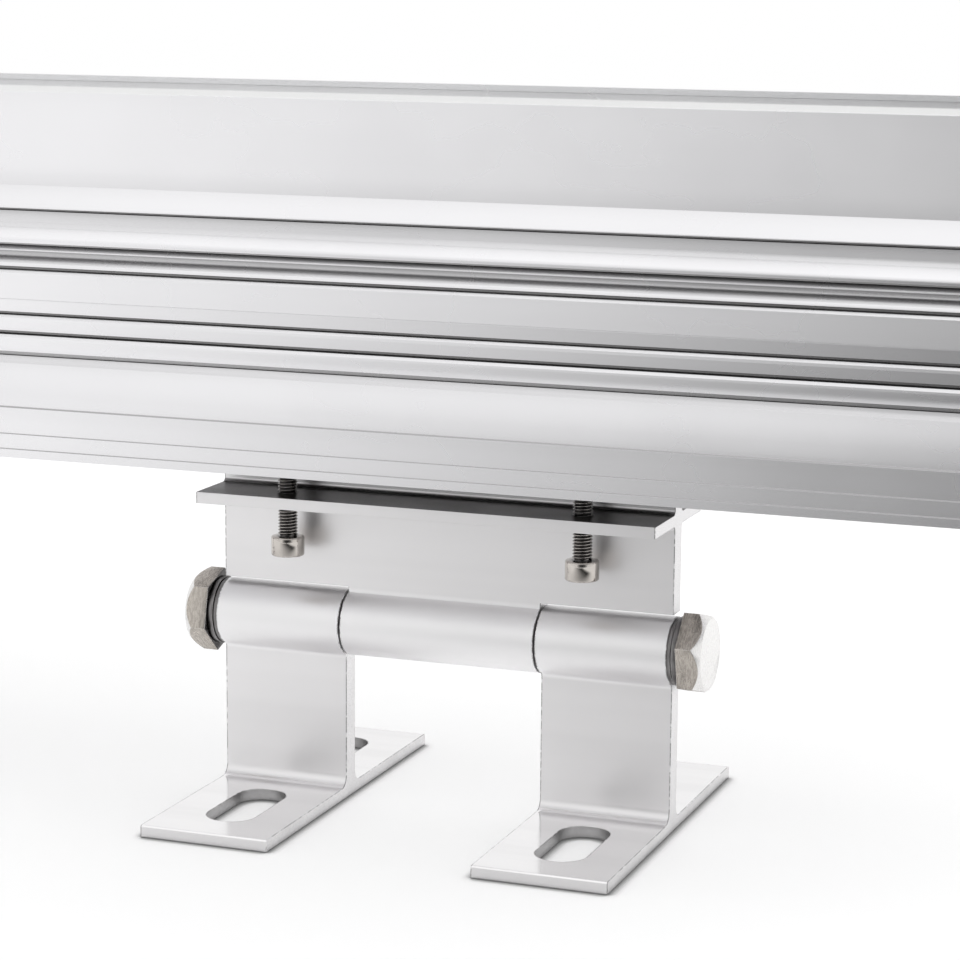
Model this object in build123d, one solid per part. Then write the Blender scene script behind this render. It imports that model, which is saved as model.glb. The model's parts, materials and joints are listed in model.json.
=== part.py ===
from build123d import *
import math
import os

# Linear floodlight: a ribbed aluminium extrusion with a glass top, carried by two hinged brackets.
# Millimetres. X runs along the lamp, Y from front to back, Z up. The feet stand on Z = 0,
# the lamp's middle is at X = 0 and the hinge axes lie over Y = 0.

# Lamp body
lamp_length = 600.0
lamp_width = 106.0
lamp_bottom = 93.2
lamp_height = 89.4
cap_thickness = 6.0
cap_edge_radius = 1.5
cap_gasket_thickness = 1.0
rim_inset = 3.5
upper_wall_height = 22.5
ledge_height = 5.1
rib_relief = 3.0
shell_wall = 3.2
rim_wall = 2.2
floor_thickness = 4.0
floor_drop = 28.6
bay_floor_thickness = 3.0
inside_radius = 2.0

# Glass and the seat that carries it
glass_thickness = 4.0
glass_drop = 1.6
glass_play = 0.4
glass_gasket_thickness = 0.8
seat_width = 3.2
seat_thickness = 2.0

# Slot along the underside, and the bracket's head in it
slot_opening = 7.0
slot_inner_width = 21.0
slot_inner_height = 5.3
slot_roof = 3.6
slot_lip = 3.0
track_width = 28.0
track_depth = 1.9
slide_fit = 0.05
head_width = 20.0
head_thickness = 3.0

# Screw ports of the housing and the end cap screws
port_radius = 3.8
port_bore = 3.4
cap_screw_thread = 4.0
cap_screw_head = 8.0
cap_screw_head_height = 2.6
cap_screw_grip = 12.0
cap_screw_fit = 0.25
cap_screw_head_round = 1.2
port_inset = 2.6
port_high_drop = 14.2

# Brackets and their hinge
bracket_spacing_share = 0.5
bracket_length = 121.6
foot_length = 34.2
knuckle_gap = 1.0
hinge_height = 46.6
barrel_diameter = 17.34
web_thickness = 5.5
web_fillet = 1.2
barrel_fillet = 1.5
barrel_gap = 1.0
flange_width = 39.6
flange_thickness = 2.9
flange_bottom = 78.5
bracket_bore = 12.1
foot_bore = 12.2
edge_break = 0.4

# Foot plates
plate_length = 106.0
plate_thickness = 3.0
plate_fillet = 3.0
slot_length = 30.0
slot_width = 13.0
slot_offset = 27.5

# Pivot bolts and washers
bolt_diameter = 12.0
bolt_tip_gap = 3.4
bolt_across_flats = 18.8
bolt_head_height = 6.2
bolt_end_chamfer = 1.0
head_face_share = 0.95
head_chamfer_angle = 50.0
bolt_turns = {1: -16.1, -1: 17.6}
spring_washer_thickness = 1.7
spring_washer_outer = 17.6
washer_bore = 12.3
split_width = 1.6
split_turns = {1: -14.0, -1: -32.0}
flat_washer_thickness = 0.9
flat_washer_outer = 17.0
washer_seat = 0.05

# Clamp screws
clamp_screw_thread = 5.0
clamp_screw_head = 8.5
clamp_screw_head_height = 5.0
clamp_screw_length = 25.0
clamp_screw_key = 4.0
clamp_screw_key_depth = 2.5
clamp_screw_spacing = 79.0
clamp_screw_row = 10.7
clamp_screw_fit = 0.05
screw_tip_chamfer = 0.6

# LED boards and optics
board_end_space = 20.0
board_width = 62.0
board_thickness = 1.6
board_gap = 6.0
led_rows = 2
leds_per_row = 8
led_row_spacing = 30.0
led_size = 3.5
led_height = 0.9
lens_base_diameter = 13.0
lens_top_diameter = 23.0
lens_flange = 1.5
lens_height = 13.0
lens_pocket_diameter = 6.0
lens_pocket_depth = 4.0
board_screw_thread = 3.0
board_screw_head = 5.6
board_screw_head_height = 1.8
board_screw_head_round = 0.8
board_screw_grip = 4.2
board_screw_inset = 5.0
board_screw_end = 10.0
board_screw_columns = 3
link_length = 22.0
link_width = 9.0
link_height = 4.0
terminal_length = 7.0
terminal_width = 12.0
terminal_height = 6.5
small_fit = 0.1

# Driver
driver_length = 220.0
driver_width = 60.0
driver_under_space = 11.0
driver_edge_radius = 2.0
driver_tab_length = 14.0
driver_tab_thickness = 2.5
driver_screw_head = 7.0
driver_screw_head_height = 2.2
driver_screw_head_round = 1.0
driver_screw_thread = 4.0
driver_screw_grip = 5.5
driver_screw_spacing = 40.0

# Cable glands in the end caps, and the leads inside
gland_thread = 16.0
gland_thread_length = 13.0
gland_hex = 19.0
gland_hex_length = 5.0
gland_neck = 15.0
gland_neck_length = 8.0
gland_bore = 9.0
dome_diameter = 18.6
dome_length = 12.0
dome_mouth = 8.0
dome_wall = 1.6
dome_round = 2.5
insert_length = 7.0
insert_flange_length = 2.3
insert_bore = 6.2
seal_thickness = 1.2
seal_outer = 20.0
lock_nut_hex = 20.0
lock_nut_length = 4.0
thread_fit = 0.1
lead_diameter = 6.0
lead_entry_depth = 2.0
lead_bend_radius = 35.0
lead_low_share = 0.67
lead_high_share = 0.33
led_lead_diameter = 3.6
led_lead_bend_radius = 8.0
led_lead_side = 14.0
led_lead_drop = 10.5
grommet_hole = 8.0
grommet_flange = 11.0
grommet_flange_thickness = 1.0
grommet_board_space = 7.0

cut_overrun = 1.0

# Places that follow from the sizes above
half_width = lamp_width / 2
lamp_top = lamp_bottom + lamp_height
body_length = lamp_length - 2 * (cap_thickness + cap_gasket_thickness)
body_half = body_length / 2
rim_half = half_width - rim_inset
trough_half = half_width - rim_inset - shell_wall
pocket_half = rim_half - rim_wall
bay_half = half_width - rib_relief - shell_wall
floor_top = lamp_top - floor_drop
floor_under = floor_top - floor_thickness
bay_bottom = lamp_bottom + bay_floor_thickness
glass_top = lamp_top - glass_drop
glass_under = glass_top - glass_thickness
seat_top = glass_under - glass_gasket_thickness
seat_edge = pocket_half - seat_width - glass_play
side_top = lamp_top - upper_wall_height - ledge_height
side_height = side_top - lamp_bottom
barrel_radius = barrel_diameter / 2
foot_centre = bracket_length / 2 - foot_length / 2
knuckle_edge = bracket_length / 2 - foot_length - knuckle_gap / 2
flange_top = flange_bottom + flange_thickness
track_top = lamp_bottom + track_depth
chamber_bottom = track_top + slot_lip
chamber_top = chamber_bottom + slot_inner_height
head_bottom = chamber_bottom + slide_fit
bracket_clear_height = hinge_height + barrel_radius + barrel_gap
screw_tip_height = track_top - slide_fit
slot_box_top = chamber_top + slot_roof
gland_axis_height = (slot_box_top + floor_under) / 2
driver_height = floor_under - slot_box_top - driver_under_space
board_length = body_half - board_gap / 2 - board_end_space
led_pitch = (board_length - 2 * terminal_length) / leds_per_row
bolt_seat = bracket_length / 2 + washer_seat + flat_washer_thickness + spring_washer_thickness
board_top = floor_top + board_thickness
bracket_spacing = lamp_length * bracket_spacing_share
bracket_centres = {"left": -bracket_spacing / 2, "right": bracket_spacing / 2}
foot_sides = {"outer": 1, "inner": -1}
gland_sides = {"left": -1, "right": 1}
ports = [
    (bay_half - port_inset, bay_bottom + port_inset),
    (bay_half - port_inset, floor_under - port_inset),
    (trough_half - port_inset, lamp_top - port_high_drop),
]

# One flank of the lamp from under the bright ledge down to the bottom edge, as (inward share of
# the rib relief, downward share of the flank's height, "line" or "curve"). A curve leaves the
# piece before it without a corner.
flank_shares = [
    (0.00, 0.004, "line"), (1.00, 0.006, "line"), (1.00, 0.015, "line"), (0.80, 0.017, "line"),
    (0.80, 0.060, "line"), (0.67, 0.080, "curve"), (0.10, 0.119, "line"), (0.03, 0.133, "curve"),
    (0.05, 0.141, "line"), (0.50, 0.143, "line"), (0.50, 0.149, "line"), (0.17, 0.168, "line"),
    (0.22, 0.172, "line"), (0.75, 0.174, "line"), (0.75, 0.186, "line"), (0.66, 0.198, "curve"),
    (0.26, 0.220, "line"), (0.14, 0.234, "curve"), (0.60, 0.238, "line"), (0.60, 0.246, "line"),
    (0.22, 0.249, "line"), (0.00, 0.260, "line"), (0.00, 0.362, "line"), (0.05, 0.364, "line"),
    (0.05, 0.368, "line"), (0.15, 0.414, "line"), (0.60, 0.417, "line"), (0.60, 0.425, "line"),
    (0.20, 0.428, "line"), (0.00, 0.438, "line"), (0.00, 0.450, "line"), (0.17, 0.490, "line"),
    (0.65, 0.492, "line"), (0.65, 0.502, "line"), (0.20, 0.506, "line"), (0.00, 0.517, "line"),
    (0.00, 0.526, "line"), (0.32, 0.574, "curve"), (1.00, 0.578, "line"), (1.00, 0.592, "line"),
    (0.84, 0.594, "line"), (0.80, 0.606, "line"), (0.64, 0.624, "curve"),
]
bulge_share = 0.794
bulge_in_share = 0.20
skirt_shares = [(0.10, 0.800), (0.10, 0.902), (0.05, 0.906), (0.05, 0.963), (0.00, 0.967), (0.00, 1.000)]


def extrude_along_x(face, low_x, high_x):
    """A face drawn in the Y-Z plane, pulled from one X to another."""
    return Pos(low_x, 0, 0) * extrude(face, amount=high_x - low_x, dir=(1, 0, 0))


def section(y, z, width, height):
    """A rectangle in the Y-Z plane, centred on y and z."""
    return Plane.YZ * Pos(y, z) * Rectangle(width, height)


def section_between(low_y, high_y, low_z, high_z):
    """A rectangle in the Y-Z plane, from corner to corner."""
    return section((low_y + high_y) / 2, (low_z + high_z) / 2, high_y - low_y, high_z - low_z)


def rod_along_x(diameter, low_x, high_x, y, z):
    """A round bar along X."""
    return extrude_along_x(Plane.YZ * Pos(y, z) * Circle(diameter / 2), low_x, high_x)


def rod_up(diameter, x, y, low_z, high_z):
    """A round bar along Z."""
    bar = Cylinder(diameter / 2, high_z - low_z, align=(Align.CENTER, Align.CENTER, Align.MIN))
    return Pos(x, y, low_z) * bar


def block(low_x, high_x, low_y, high_y, low_z, high_z):
    """A box from corner to corner."""
    box = Box(high_x - low_x, high_y - low_y, high_z - low_z)
    return Pos((low_x + high_x) / 2, (low_y + high_y) / 2, (low_z + high_z) / 2) * box


def joined(solids):
    """Separate solids as one group."""
    return Compound(children=list(solids))


def write(node, shape):
    """Writes one piece to its own file."""
    shape.label = node
    export_step(shape, f"parts/{node}.step")


def flank_point(inward_share, down_share):
    """A point of the flank in the Y-Z plane, from its shares."""
    return (half_width - inward_share * rib_relief, side_top - down_share * side_height)


def flank_edges():
    """The edges of the lamp's rear flank, from the rim's outer corner to the bottom's middle."""
    ledge_top = lamp_top - upper_wall_height
    edges = [
        Line((rim_half, lamp_top), (rim_half, ledge_top)),
        Line((rim_half, ledge_top), (half_width, side_top)),
    ]
    for inward, down, kind in flank_shares:
        start = edges[-1] @ 1
        end = flank_point(inward, down)
        if kind == "line":
            edges.append(Line(start, end))
        else:
            edges.append(TangentArc(start, end, tangent=edges[-1] % 1))
    foot_of_bulge = flank_point(bulge_in_share, bulge_share)
    edges.append(TangentArc(foot_of_bulge, edges[-1] @ 1, tangent=(0, 1)))
    points = [foot_of_bulge] + [flank_point(inward, down) for inward, down in skirt_shares]
    edges += Polyline(*points, (0, lamp_bottom)).edges()
    return edges


def lamp_outline():
    """The lamp's whole outer section, closed across the open top."""
    edges = flank_edges() + [Line((0, lamp_bottom), (0, lamp_top)), Line((0, lamp_top), (rim_half, lamp_top))]
    half = make_face(Wire(edges))
    whole = half + mirror(half, about=Plane.YZ)
    return Plane.YZ * whole.clean()


def plain_outline():
    """The lamp's outer section without its coves and grooves, which the end caps and gaskets have."""
    ledge_top = lamp_top - upper_wall_height
    right = [(rim_half, lamp_top), (rim_half, ledge_top), (half_width, side_top), (half_width, lamp_bottom)]
    left = [(-y, z) for y, z in reversed(right)]
    return Plane.YZ * make_face(Polyline(*right, *left, close=True))


def slot_section():
    """The slot along the underside, with the shallow track the clamp screws bear in."""
    track = section_between(-track_width / 2, track_width / 2, lamp_bottom - cut_overrun, track_top)
    mouth = section_between(-slot_opening / 2, slot_opening / 2, lamp_bottom, chamber_top)
    chamber = section_between(-slot_inner_width / 2, slot_inner_width / 2, chamber_bottom, chamber_top)
    return track + mouth + chamber


def port_discs(diameter):
    """Discs at the housing's screw ports."""
    return [Plane.YZ * Pos(side * y, z) * Circle(diameter / 2) for y, z in ports for side in (-1, 1)]


def bay_section():
    """The driver's compartment, around the slot's box and the screw ports."""
    bay = section_between(-bay_half, bay_half, bay_bottom, floor_under)
    bay = fillet(bay.vertices(), inside_radius)
    slot_box_half = slot_inner_width / 2 + slot_roof
    bay -= section_between(-slot_box_half, slot_box_half, bay_bottom - cut_overrun, slot_box_top)
    for disc in port_discs(2 * port_radius):
        bay -= disc
    return bay


def trough_section():
    """The optical compartment, the glass seat and the pocket over it."""
    trough = section_between(-trough_half, trough_half, floor_top, seat_top)
    for side in (-1, 1):
        outer = side * (trough_half + cut_overrun)
        inner = side * seat_edge
        trough -= section_between(min(inner, outer), max(inner, outer), seat_top - seat_thickness, seat_top)
    for disc in port_discs(2 * port_radius):
        trough -= disc
    pocket = section_between(-pocket_half, pocket_half, seat_top, lamp_top + cut_overrun)
    return trough + pocket


def grommet_place():
    """X and Y of the lead's hole in the floor between the compartments."""
    return (board_low_x(1) + board_length + grommet_board_space, led_lead_side)


def make_housing():
    """The extrusion, with its one cross hole for the LED lead."""
    profile = lamp_outline() - slot_section() - bay_section() - trough_section()
    for disc in port_discs(port_bore):
        profile -= disc
    housing = extrude_along_x(profile, -body_half, body_half)
    x, y = grommet_place()
    housing -= rod_up(grommet_hole, x, y, floor_under - cut_overrun, floor_top + cut_overrun)
    board_holes = [place for side in (-1, 1) for place in board_screw_places(side)]
    for x, y in board_holes:
        housing -= rod_up(
            board_screw_thread + 2 * small_fit, x, y,
            board_top - board_screw_grip - small_fit, floor_top + cut_overrun)
    for x, y in driver_screw_places():
        housing -= rod_up(
            driver_screw_thread + 2 * small_fit, x, y,
            floor_under - cut_overrun, floor_under - driver_tab_thickness + driver_screw_grip + small_fit)
    return housing


def make_glass():
    """The cover glass, with its long edges eased."""
    half_y = pocket_half - glass_play
    half_x = body_half - glass_play
    glass = block(-half_x, half_x, -half_y, half_y, glass_under, glass_top)
    return chamfer(glass.edges().group_by(Axis.Z)[-1], edge_break)


def make_glass_gasket():
    """A flat silicone frame between the seat and the glass."""
    half_y = pocket_half - glass_play
    half_x = body_half - glass_play
    frame = block(-half_x, half_x, -half_y, half_y, seat_top, glass_under)
    window_x = half_x - seat_width
    window_y = half_y - seat_width
    low = seat_top - cut_overrun
    high = glass_under + cut_overrun
    return frame - block(-window_x, window_x, -window_y, window_y, low, high)


def make_cap_gasket(side):
    """The sheet gasket between the housing's end and an end cap."""
    sheet = plain_outline() - section_between(-trough_half, trough_half, floor_top, lamp_top - rim_inset)
    sheet -= section_between(-bay_half, bay_half, bay_bottom, floor_under)
    for disc in port_discs(2 * port_radius):
        sheet += disc
    for disc in port_discs(cap_screw_thread + 2 * cap_screw_fit):
        sheet -= disc
    inner = side * body_half
    outer = side * (body_half + cap_gasket_thickness)
    return extrude_along_x(sheet, min(inner, outer), max(inner, outer))


def make_end_cap(side):
    """An end plate with screw holes, a gland hole and the shelf under the glass's end."""
    inner = body_half + cap_gasket_thickness
    plate = extrude_along_x(plain_outline(), inner, inner + cap_thickness)
    outer_edges = plate.faces().sort_by(Axis.X)[-1].edges()
    plate = fillet(outer_edges, cap_edge_radius)
    for y, z in ports:
        for mirrored in (-1, 1):
            plate -= rod_along_x(
                cap_screw_thread + 2 * cap_screw_fit,
                inner - cut_overrun, inner + cap_thickness + cut_overrun, mirrored * y, z)
    plate -= rod_along_x(
        gland_thread + 2 * thread_fit, inner - cut_overrun, inner + cap_thickness + cut_overrun,
        0, gland_axis_height)
    shelf_half = seat_edge - glass_play
    plate += block(inner - cap_gasket_thickness - seat_width, inner + cut_overrun,
                   -shelf_half, shelf_half, seat_top - seat_thickness, seat_top)
    return mirror(plate, about=Plane.YZ) if side < 0 else plate


def pan_screw_along_x(side, y, z):
    """An end cap screw: domed head outside the cap, thread in the port."""
    seat = body_half + cap_gasket_thickness + cap_thickness
    head = rod_along_x(cap_screw_head, seat, seat + cap_screw_head_height, y, z)
    head = fillet(head.faces().sort_by(Axis.X)[-1].edges(), cap_screw_head_round)
    screw = head + rod_along_x(port_bore - 2 * small_fit, seat - cap_screw_grip - cap_thickness, seat, y, z)
    return mirror(screw, about=Plane.YZ) if side < 0 else screw


def make_board_screw(x, y):
    """A small screw that goes down through an LED board into the floor."""
    head = rod_up(board_screw_head, x, y, board_top, board_top + board_screw_head_height)
    head = fillet(head.faces().sort_by(Axis.Z)[-1].edges(), board_screw_head_round)
    return head + rod_up(board_screw_thread, x, y, board_top - board_screw_grip, board_top)


def board_low_x(side):
    """The lower X of one LED board."""
    return board_gap / 2 if side > 0 else -board_gap / 2 - board_length


def led_places(side):
    """The places of one board's LEDs."""
    first = board_low_x(side) + terminal_length + led_pitch / 2
    first_row = -led_row_spacing * (led_rows - 1) / 2
    rows = [first_row + led_row_spacing * row for row in range(led_rows)]
    return [(first + led_pitch * i, y) for y in rows for i in range(leds_per_row)]


def board_screw_places(side):
    """The places of one board's screws: a row along each long edge."""
    low = board_low_x(side) + board_screw_end
    step = (board_length - 2 * board_screw_end) / (board_screw_columns - 1)
    edge = board_width / 2 - board_screw_inset
    return [(low + step * i, row * edge) for i in range(board_screw_columns) for row in (-1, 1)]


def make_board(side):
    """An LED board with its screw holes."""
    low = board_low_x(side)
    half_y = board_width / 2
    hole = board_screw_thread + 2 * small_fit
    board = block(low, low + board_length, -half_y, half_y, floor_top, board_top)
    for x, y in board_screw_places(side):
        board -= rod_up(hole, x, y, floor_top - cut_overrun, board_top + cut_overrun)
    return board


def make_led(x, y):
    """One LED chip."""
    half = led_size / 2
    return block(x - half, x + half, y - half, y + half, board_top, board_top + led_height)


def make_lens(x, y):
    """One collimator lens over its LED: a cone with a rim on top and a pocket below."""
    base = board_top
    cone_top = base + lens_height - lens_flange
    cone = Cone(lens_base_diameter / 2, lens_top_diameter / 2, cone_top - base,
                align=(Align.CENTER, Align.CENTER, Align.MIN))
    rim = rod_up(lens_top_diameter + lens_flange, x, y, cone_top, cone_top + lens_flange)
    lens = Pos(x, y, base) * cone + rim
    return lens - rod_up(lens_pocket_diameter, x, y, base - cut_overrun, base + lens_pocket_depth)


def make_board_link():
    """The connector that bridges the two boards."""
    half = link_length / 2
    return block(-half, half, -link_width / 2, link_width / 2, board_top, board_top + link_height)


def make_terminal():
    """The plug-in terminal at the right board's end."""
    high = board_low_x(1) + board_length
    y = led_lead_side
    return block(high - terminal_length, high, y - terminal_width / 2, y + terminal_width / 2,
                 board_top, board_top + terminal_height)


def make_driver():
    """The sealed driver under the floor, with a tab at each end."""
    half = driver_length / 2
    half_y = driver_width / 2
    low = floor_under - driver_height
    case = block(-half, half, -half_y, half_y, low, floor_under)
    case = fillet(case.edges().filter_by(Axis.X), driver_edge_radius)
    reach = half + driver_tab_length
    tabs = block(-reach, reach, -half_y, half_y, floor_under - driver_tab_thickness, floor_under)
    driver = case + tabs
    hole = driver_screw_thread + 2 * small_fit
    for x, y in driver_screw_places():
        driver -= rod_up(hole, x, y, low, floor_under + cut_overrun)
    return driver


def driver_screw_places():
    """The places of the driver's screws, two in each tab."""
    x = driver_length / 2 + driver_tab_length / 2
    return [(side * x, row * driver_screw_spacing / 2) for side in (-1, 1) for row in (-1, 1)]


def make_driver_screw(x, y):
    """A screw up through a driver tab."""
    seat = floor_under - driver_tab_thickness
    head = rod_up(driver_screw_head, x, y, seat - driver_screw_head_height, seat)
    head = fillet(head.faces().sort_by(Axis.Z)[0].edges(), driver_screw_head_round)
    return head + rod_up(driver_screw_thread, x, y, seat, seat + driver_screw_grip)


def hexagon_along_x(across_flats, low_x, high_x, y, z, turn=0.0):
    """A hexagonal bar along X, its corners turned about X."""
    outline = RegularPolygon(across_flats / math.sqrt(3), 6)
    outline = Plane.YZ * Pos(y, z) * Rot(0, 0, turn) * outline
    return extrude_along_x(outline, low_x, high_x)


def gland_zero():
    """X of the cap's outer face, where a gland starts."""
    return body_half + cap_gasket_thickness + cap_thickness


def sided(solid, side):
    """A solid made for the right-hand end, mirrored for the left."""
    return mirror(solid, about=Plane.YZ) if side < 0 else solid


def make_gland_body(side):
    """The gland's hexagon, its inner thread and its outer neck."""
    zero = gland_zero()
    hex_low = zero + seal_thickness
    hex_high = hex_low + gland_hex_length
    body = hexagon_along_x(gland_hex, hex_low, hex_high, 0, gland_axis_height)
    body += rod_along_x(gland_thread, zero - gland_thread_length, hex_low, 0, gland_axis_height)
    body += rod_along_x(gland_neck, hex_high, hex_high + gland_neck_length, 0, gland_axis_height)
    body -= rod_along_x(
        gland_bore, zero - gland_thread_length - cut_overrun, hex_high + gland_neck_length + cut_overrun,
        0, gland_axis_height)
    return sided(body, side)


def make_gland_seal(side):
    """The washer between a gland and its cap."""
    zero = gland_zero()
    hole = gland_thread + 2 * thread_fit
    high = zero + seal_thickness
    ring = rod_along_x(seal_outer, zero, high, 0, gland_axis_height)
    ring -= rod_along_x(hole, zero - cut_overrun, high + cut_overrun, 0, gland_axis_height)
    return sided(ring, side)


def make_gland_insert(side):
    """The rubber insert that closes round a lead, in front of the neck."""
    low = gland_zero() + seal_thickness + gland_hex_length + gland_neck_length
    high = low + insert_flange_length
    outer = gland_neck - 2 * thread_fit
    tail = high - insert_length
    insert = rod_along_x(outer, low, high, 0, gland_axis_height)
    insert += rod_along_x(gland_bore - 2 * thread_fit, tail, low, 0, gland_axis_height)
    insert -= rod_along_x(insert_bore, tail - cut_overrun, high + cut_overrun, 0, gland_axis_height)
    return sided(insert, side)


def make_gland_dome(side):
    """The dome nut over the neck and the insert."""
    low = gland_zero() + seal_thickness + gland_hex_length + thread_fit
    high = low + dome_length
    hole = gland_neck + 2 * thread_fit
    dome = rod_along_x(dome_diameter, low, high, 0, gland_axis_height)
    dome = fillet(dome.faces().sort_by(Axis.X)[-1].edges(), dome_round)
    dome -= rod_along_x(hole, low - cut_overrun, high - dome_wall, 0, gland_axis_height)
    dome -= rod_along_x(dome_mouth, low, high + cut_overrun, 0, gland_axis_height)
    return sided(dome, side)


def make_lock_nut(side):
    """The nut on the gland's thread inside the cap."""
    high = gland_zero() - cap_thickness
    low = high - lock_nut_length
    hole = gland_thread + 2 * thread_fit
    nut = hexagon_along_x(lock_nut_hex, low, high, 0, gland_axis_height)
    nut -= rod_along_x(hole, low - cut_overrun, high + cut_overrun, 0, gland_axis_height)
    return sided(nut, side)


def make_supply_lead(side):
    """A lead inside the housing, from a gland's inner end to the driver."""
    start_x = gland_zero() - gland_thread_length - lead_entry_depth
    end_x = driver_length / 2
    end_z = floor_under - driver_height / 2
    run = start_x - end_x
    route = FilletPolyline(
        (start_x, 0, gland_axis_height), (end_x + run * lead_low_share, 0, gland_axis_height),
        (end_x + run * lead_high_share, 0, end_z), (end_x, 0, end_z), radius=lead_bend_radius)
    start_plane = Plane(origin=(start_x, 0, gland_axis_height), z_dir=(-1, 0, 0))
    lead = sweep(start_plane * Circle(lead_diameter / 2), path=route)
    return sided(lead, side)


def make_led_lead():
    """The lead from the driver's right end, up through the grommet to the terminal."""
    x, y = grommet_place()
    low = floor_under - led_lead_drop
    high = board_top + terminal_height / 2
    start = (driver_length / 2, y, low)
    route = FilletPolyline(
        start, (x, y, low), (x, y, high), (board_low_x(1) + board_length, y, high),
        radius=[led_lead_bend_radius, led_lead_diameter])
    return sweep(Plane(origin=start, z_dir=(1, 0, 0)) * Circle(led_lead_diameter / 2), path=route)


def make_grommet():
    """The rubber grommet in the floor's hole."""
    x, y = grommet_place()
    core = rod_up(grommet_hole - 2 * small_fit, x, y, floor_under, floor_top)
    low_rim = rod_up(grommet_flange, x, y, floor_under - grommet_flange_thickness, floor_under)
    high_rim = rod_up(grommet_flange, x, y, floor_top, floor_top + grommet_flange_thickness)
    bore = rod_up(
        led_lead_diameter + 2 * small_fit, x, y,
        floor_under - grommet_flange_thickness - cut_overrun,
        floor_top + grommet_flange_thickness + cut_overrun)
    return core + low_rim + high_rim - bore


def web_section(low_z, high_z):
    """A web on the hinge's centre plane."""
    return section_between(-web_thickness / 2, web_thickness / 2, low_z, high_z)


def barrel_section():
    """A hinge barrel's disc."""
    return Plane.YZ * Pos(0, hinge_height) * Circle(barrel_radius)


def section_corners(face, radius, places):
    """Rounds the corners of a Y-Z section that are nearest to the places given."""
    corners = []
    for y, z in places:
        corners.append(min(face.vertices(), key=lambda v: math.hypot(v.Y - y, v.Z - z)))
    return fillet(corners, radius)


def bracket_section():
    """The clamp bracket's section: barrel, web, flange and head."""
    head_top = head_bottom + head_thickness
    face = web_section(hinge_height, head_bottom)
    face += section_between(-flange_width / 2, flange_width / 2, flange_bottom, flange_top)
    face += section_between(-head_width / 2, head_width / 2, head_bottom, head_top)
    face += barrel_section()
    edge = web_thickness / 2
    inner = [(side * edge, z) for side in (-1, 1) for z in (flange_bottom, flange_top)]
    return section_corners(face, web_fillet, inner)


def make_clamp_bracket(centre):
    """The bracket under the lamp, cut away over the feet's barrels and bored for the bolts."""
    half = bracket_length / 2
    bracket = extrude_along_x(bracket_section(), centre - half, centre + half)
    for side in (-1, 1):
        inner = centre + side * knuckle_edge
        outer = centre + side * (half + cut_overrun)
        bracket -= block(
            min(inner, outer), max(inner, outer), -barrel_diameter, barrel_diameter, 0, bracket_clear_height)
    bracket -= rod_along_x(bracket_bore, centre - half, centre + half, 0, hinge_height)
    for x, y in clamp_screw_places(centre):
        bracket -= rod_up(clamp_screw_thread + 2 * clamp_screw_fit, x, y,
                          flange_bottom - cut_overrun, flange_top + cut_overrun)
    return bracket


def foot_section():
    """A foot's section: barrel, web and plate."""
    edge = web_thickness / 2
    face = web_section(plate_thickness / 2, hinge_height)
    face += section_between(-plate_length / 2, plate_length / 2, 0, plate_thickness)
    face += barrel_section()
    face = section_corners(face, plate_fillet, [(-edge, plate_thickness), (edge, plate_thickness)])
    under = hinge_height - math.sqrt(barrel_radius ** 2 - edge ** 2)
    return section_corners(face, barrel_fillet, [(-edge, under), (edge, under)])


def make_foot(centre):
    """A foot, with a slot before and behind its web and a bored barrel."""
    half = foot_length / 2
    foot = extrude_along_x(foot_section(), centre - half, centre + half)
    top_edges = foot.edges().filter_by(Axis.X).group_by(Axis.Z)[1]
    foot = chamfer([edge for edge in top_edges if abs(edge.center().Y) > slot_offset], edge_break)
    outline = SlotOverall(slot_length, slot_width, rotation=90)
    slot = extrude(outline, amount=plate_thickness + cut_overrun, both=True)
    for side in (-1, 1):
        foot -= Pos(centre, side * slot_offset, 0) * slot
    foot -= rod_along_x(foot_bore, centre - half - cut_overrun, centre + half + cut_overrun, 0, hinge_height)
    return foot


def clamp_screw_places(centre):
    """The places of one bracket's clamp screws."""
    half = clamp_screw_spacing / 2
    return [(centre + side * half, row * clamp_screw_row) for side in (-1, 1) for row in (-1, 1)]


def make_clamp_screw(x, y):
    """A socket head screw, head down, whose tip bears on the lamp's underside."""
    seat = screw_tip_height - clamp_screw_length
    head = rod_up(clamp_screw_head, x, y, seat - clamp_screw_head_height, seat)
    head = chamfer(head.faces().sort_by(Axis.Z)[0].edges(), edge_break)
    shank = rod_up(clamp_screw_thread, x, y, seat, screw_tip_height)
    shank = chamfer(shank.faces().sort_by(Axis.Z)[-1].edges(), screw_tip_chamfer)
    key_outline = RegularPolygon(clamp_screw_key / math.sqrt(3), 6)
    key = extrude(key_outline, amount=clamp_screw_key_depth + cut_overrun)
    return head + shank - Pos(x, y, seat - clamp_screw_head_height - cut_overrun) * key


def stack_start():
    """Distance from a bracket's centre to the first washer at a hinge's end."""
    return bracket_length / 2 + washer_seat


def make_ring(outer_diameter, start, thickness, centre, side):
    """A flat ring on the hinge axis, outside a foot's barrel."""
    low = min(side * start, side * (start + thickness)) + centre
    high = max(side * start, side * (start + thickness)) + centre
    ring = rod_along_x(outer_diameter, low, high, 0, hinge_height)
    return ring - rod_along_x(washer_bore, low - cut_overrun, high + cut_overrun, 0, hinge_height)


def make_spring_washer(centre, side):
    """A split ring between the flat washer and the bolt's head."""
    start = stack_start() + flat_washer_thickness
    ring = make_ring(spring_washer_outer, start, spring_washer_thickness, centre, side)
    middle = centre + side * (start + spring_washer_thickness / 2)
    gap = block(
        middle - spring_washer_thickness, middle + spring_washer_thickness,
        -spring_washer_outer, 0, hinge_height - split_width / 2, hinge_height + split_width / 2)
    return ring - Pos(0, 0, hinge_height) * Rot(split_turns[side], 0, 0) * Pos(0, 0, -hinge_height) * gap


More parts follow.
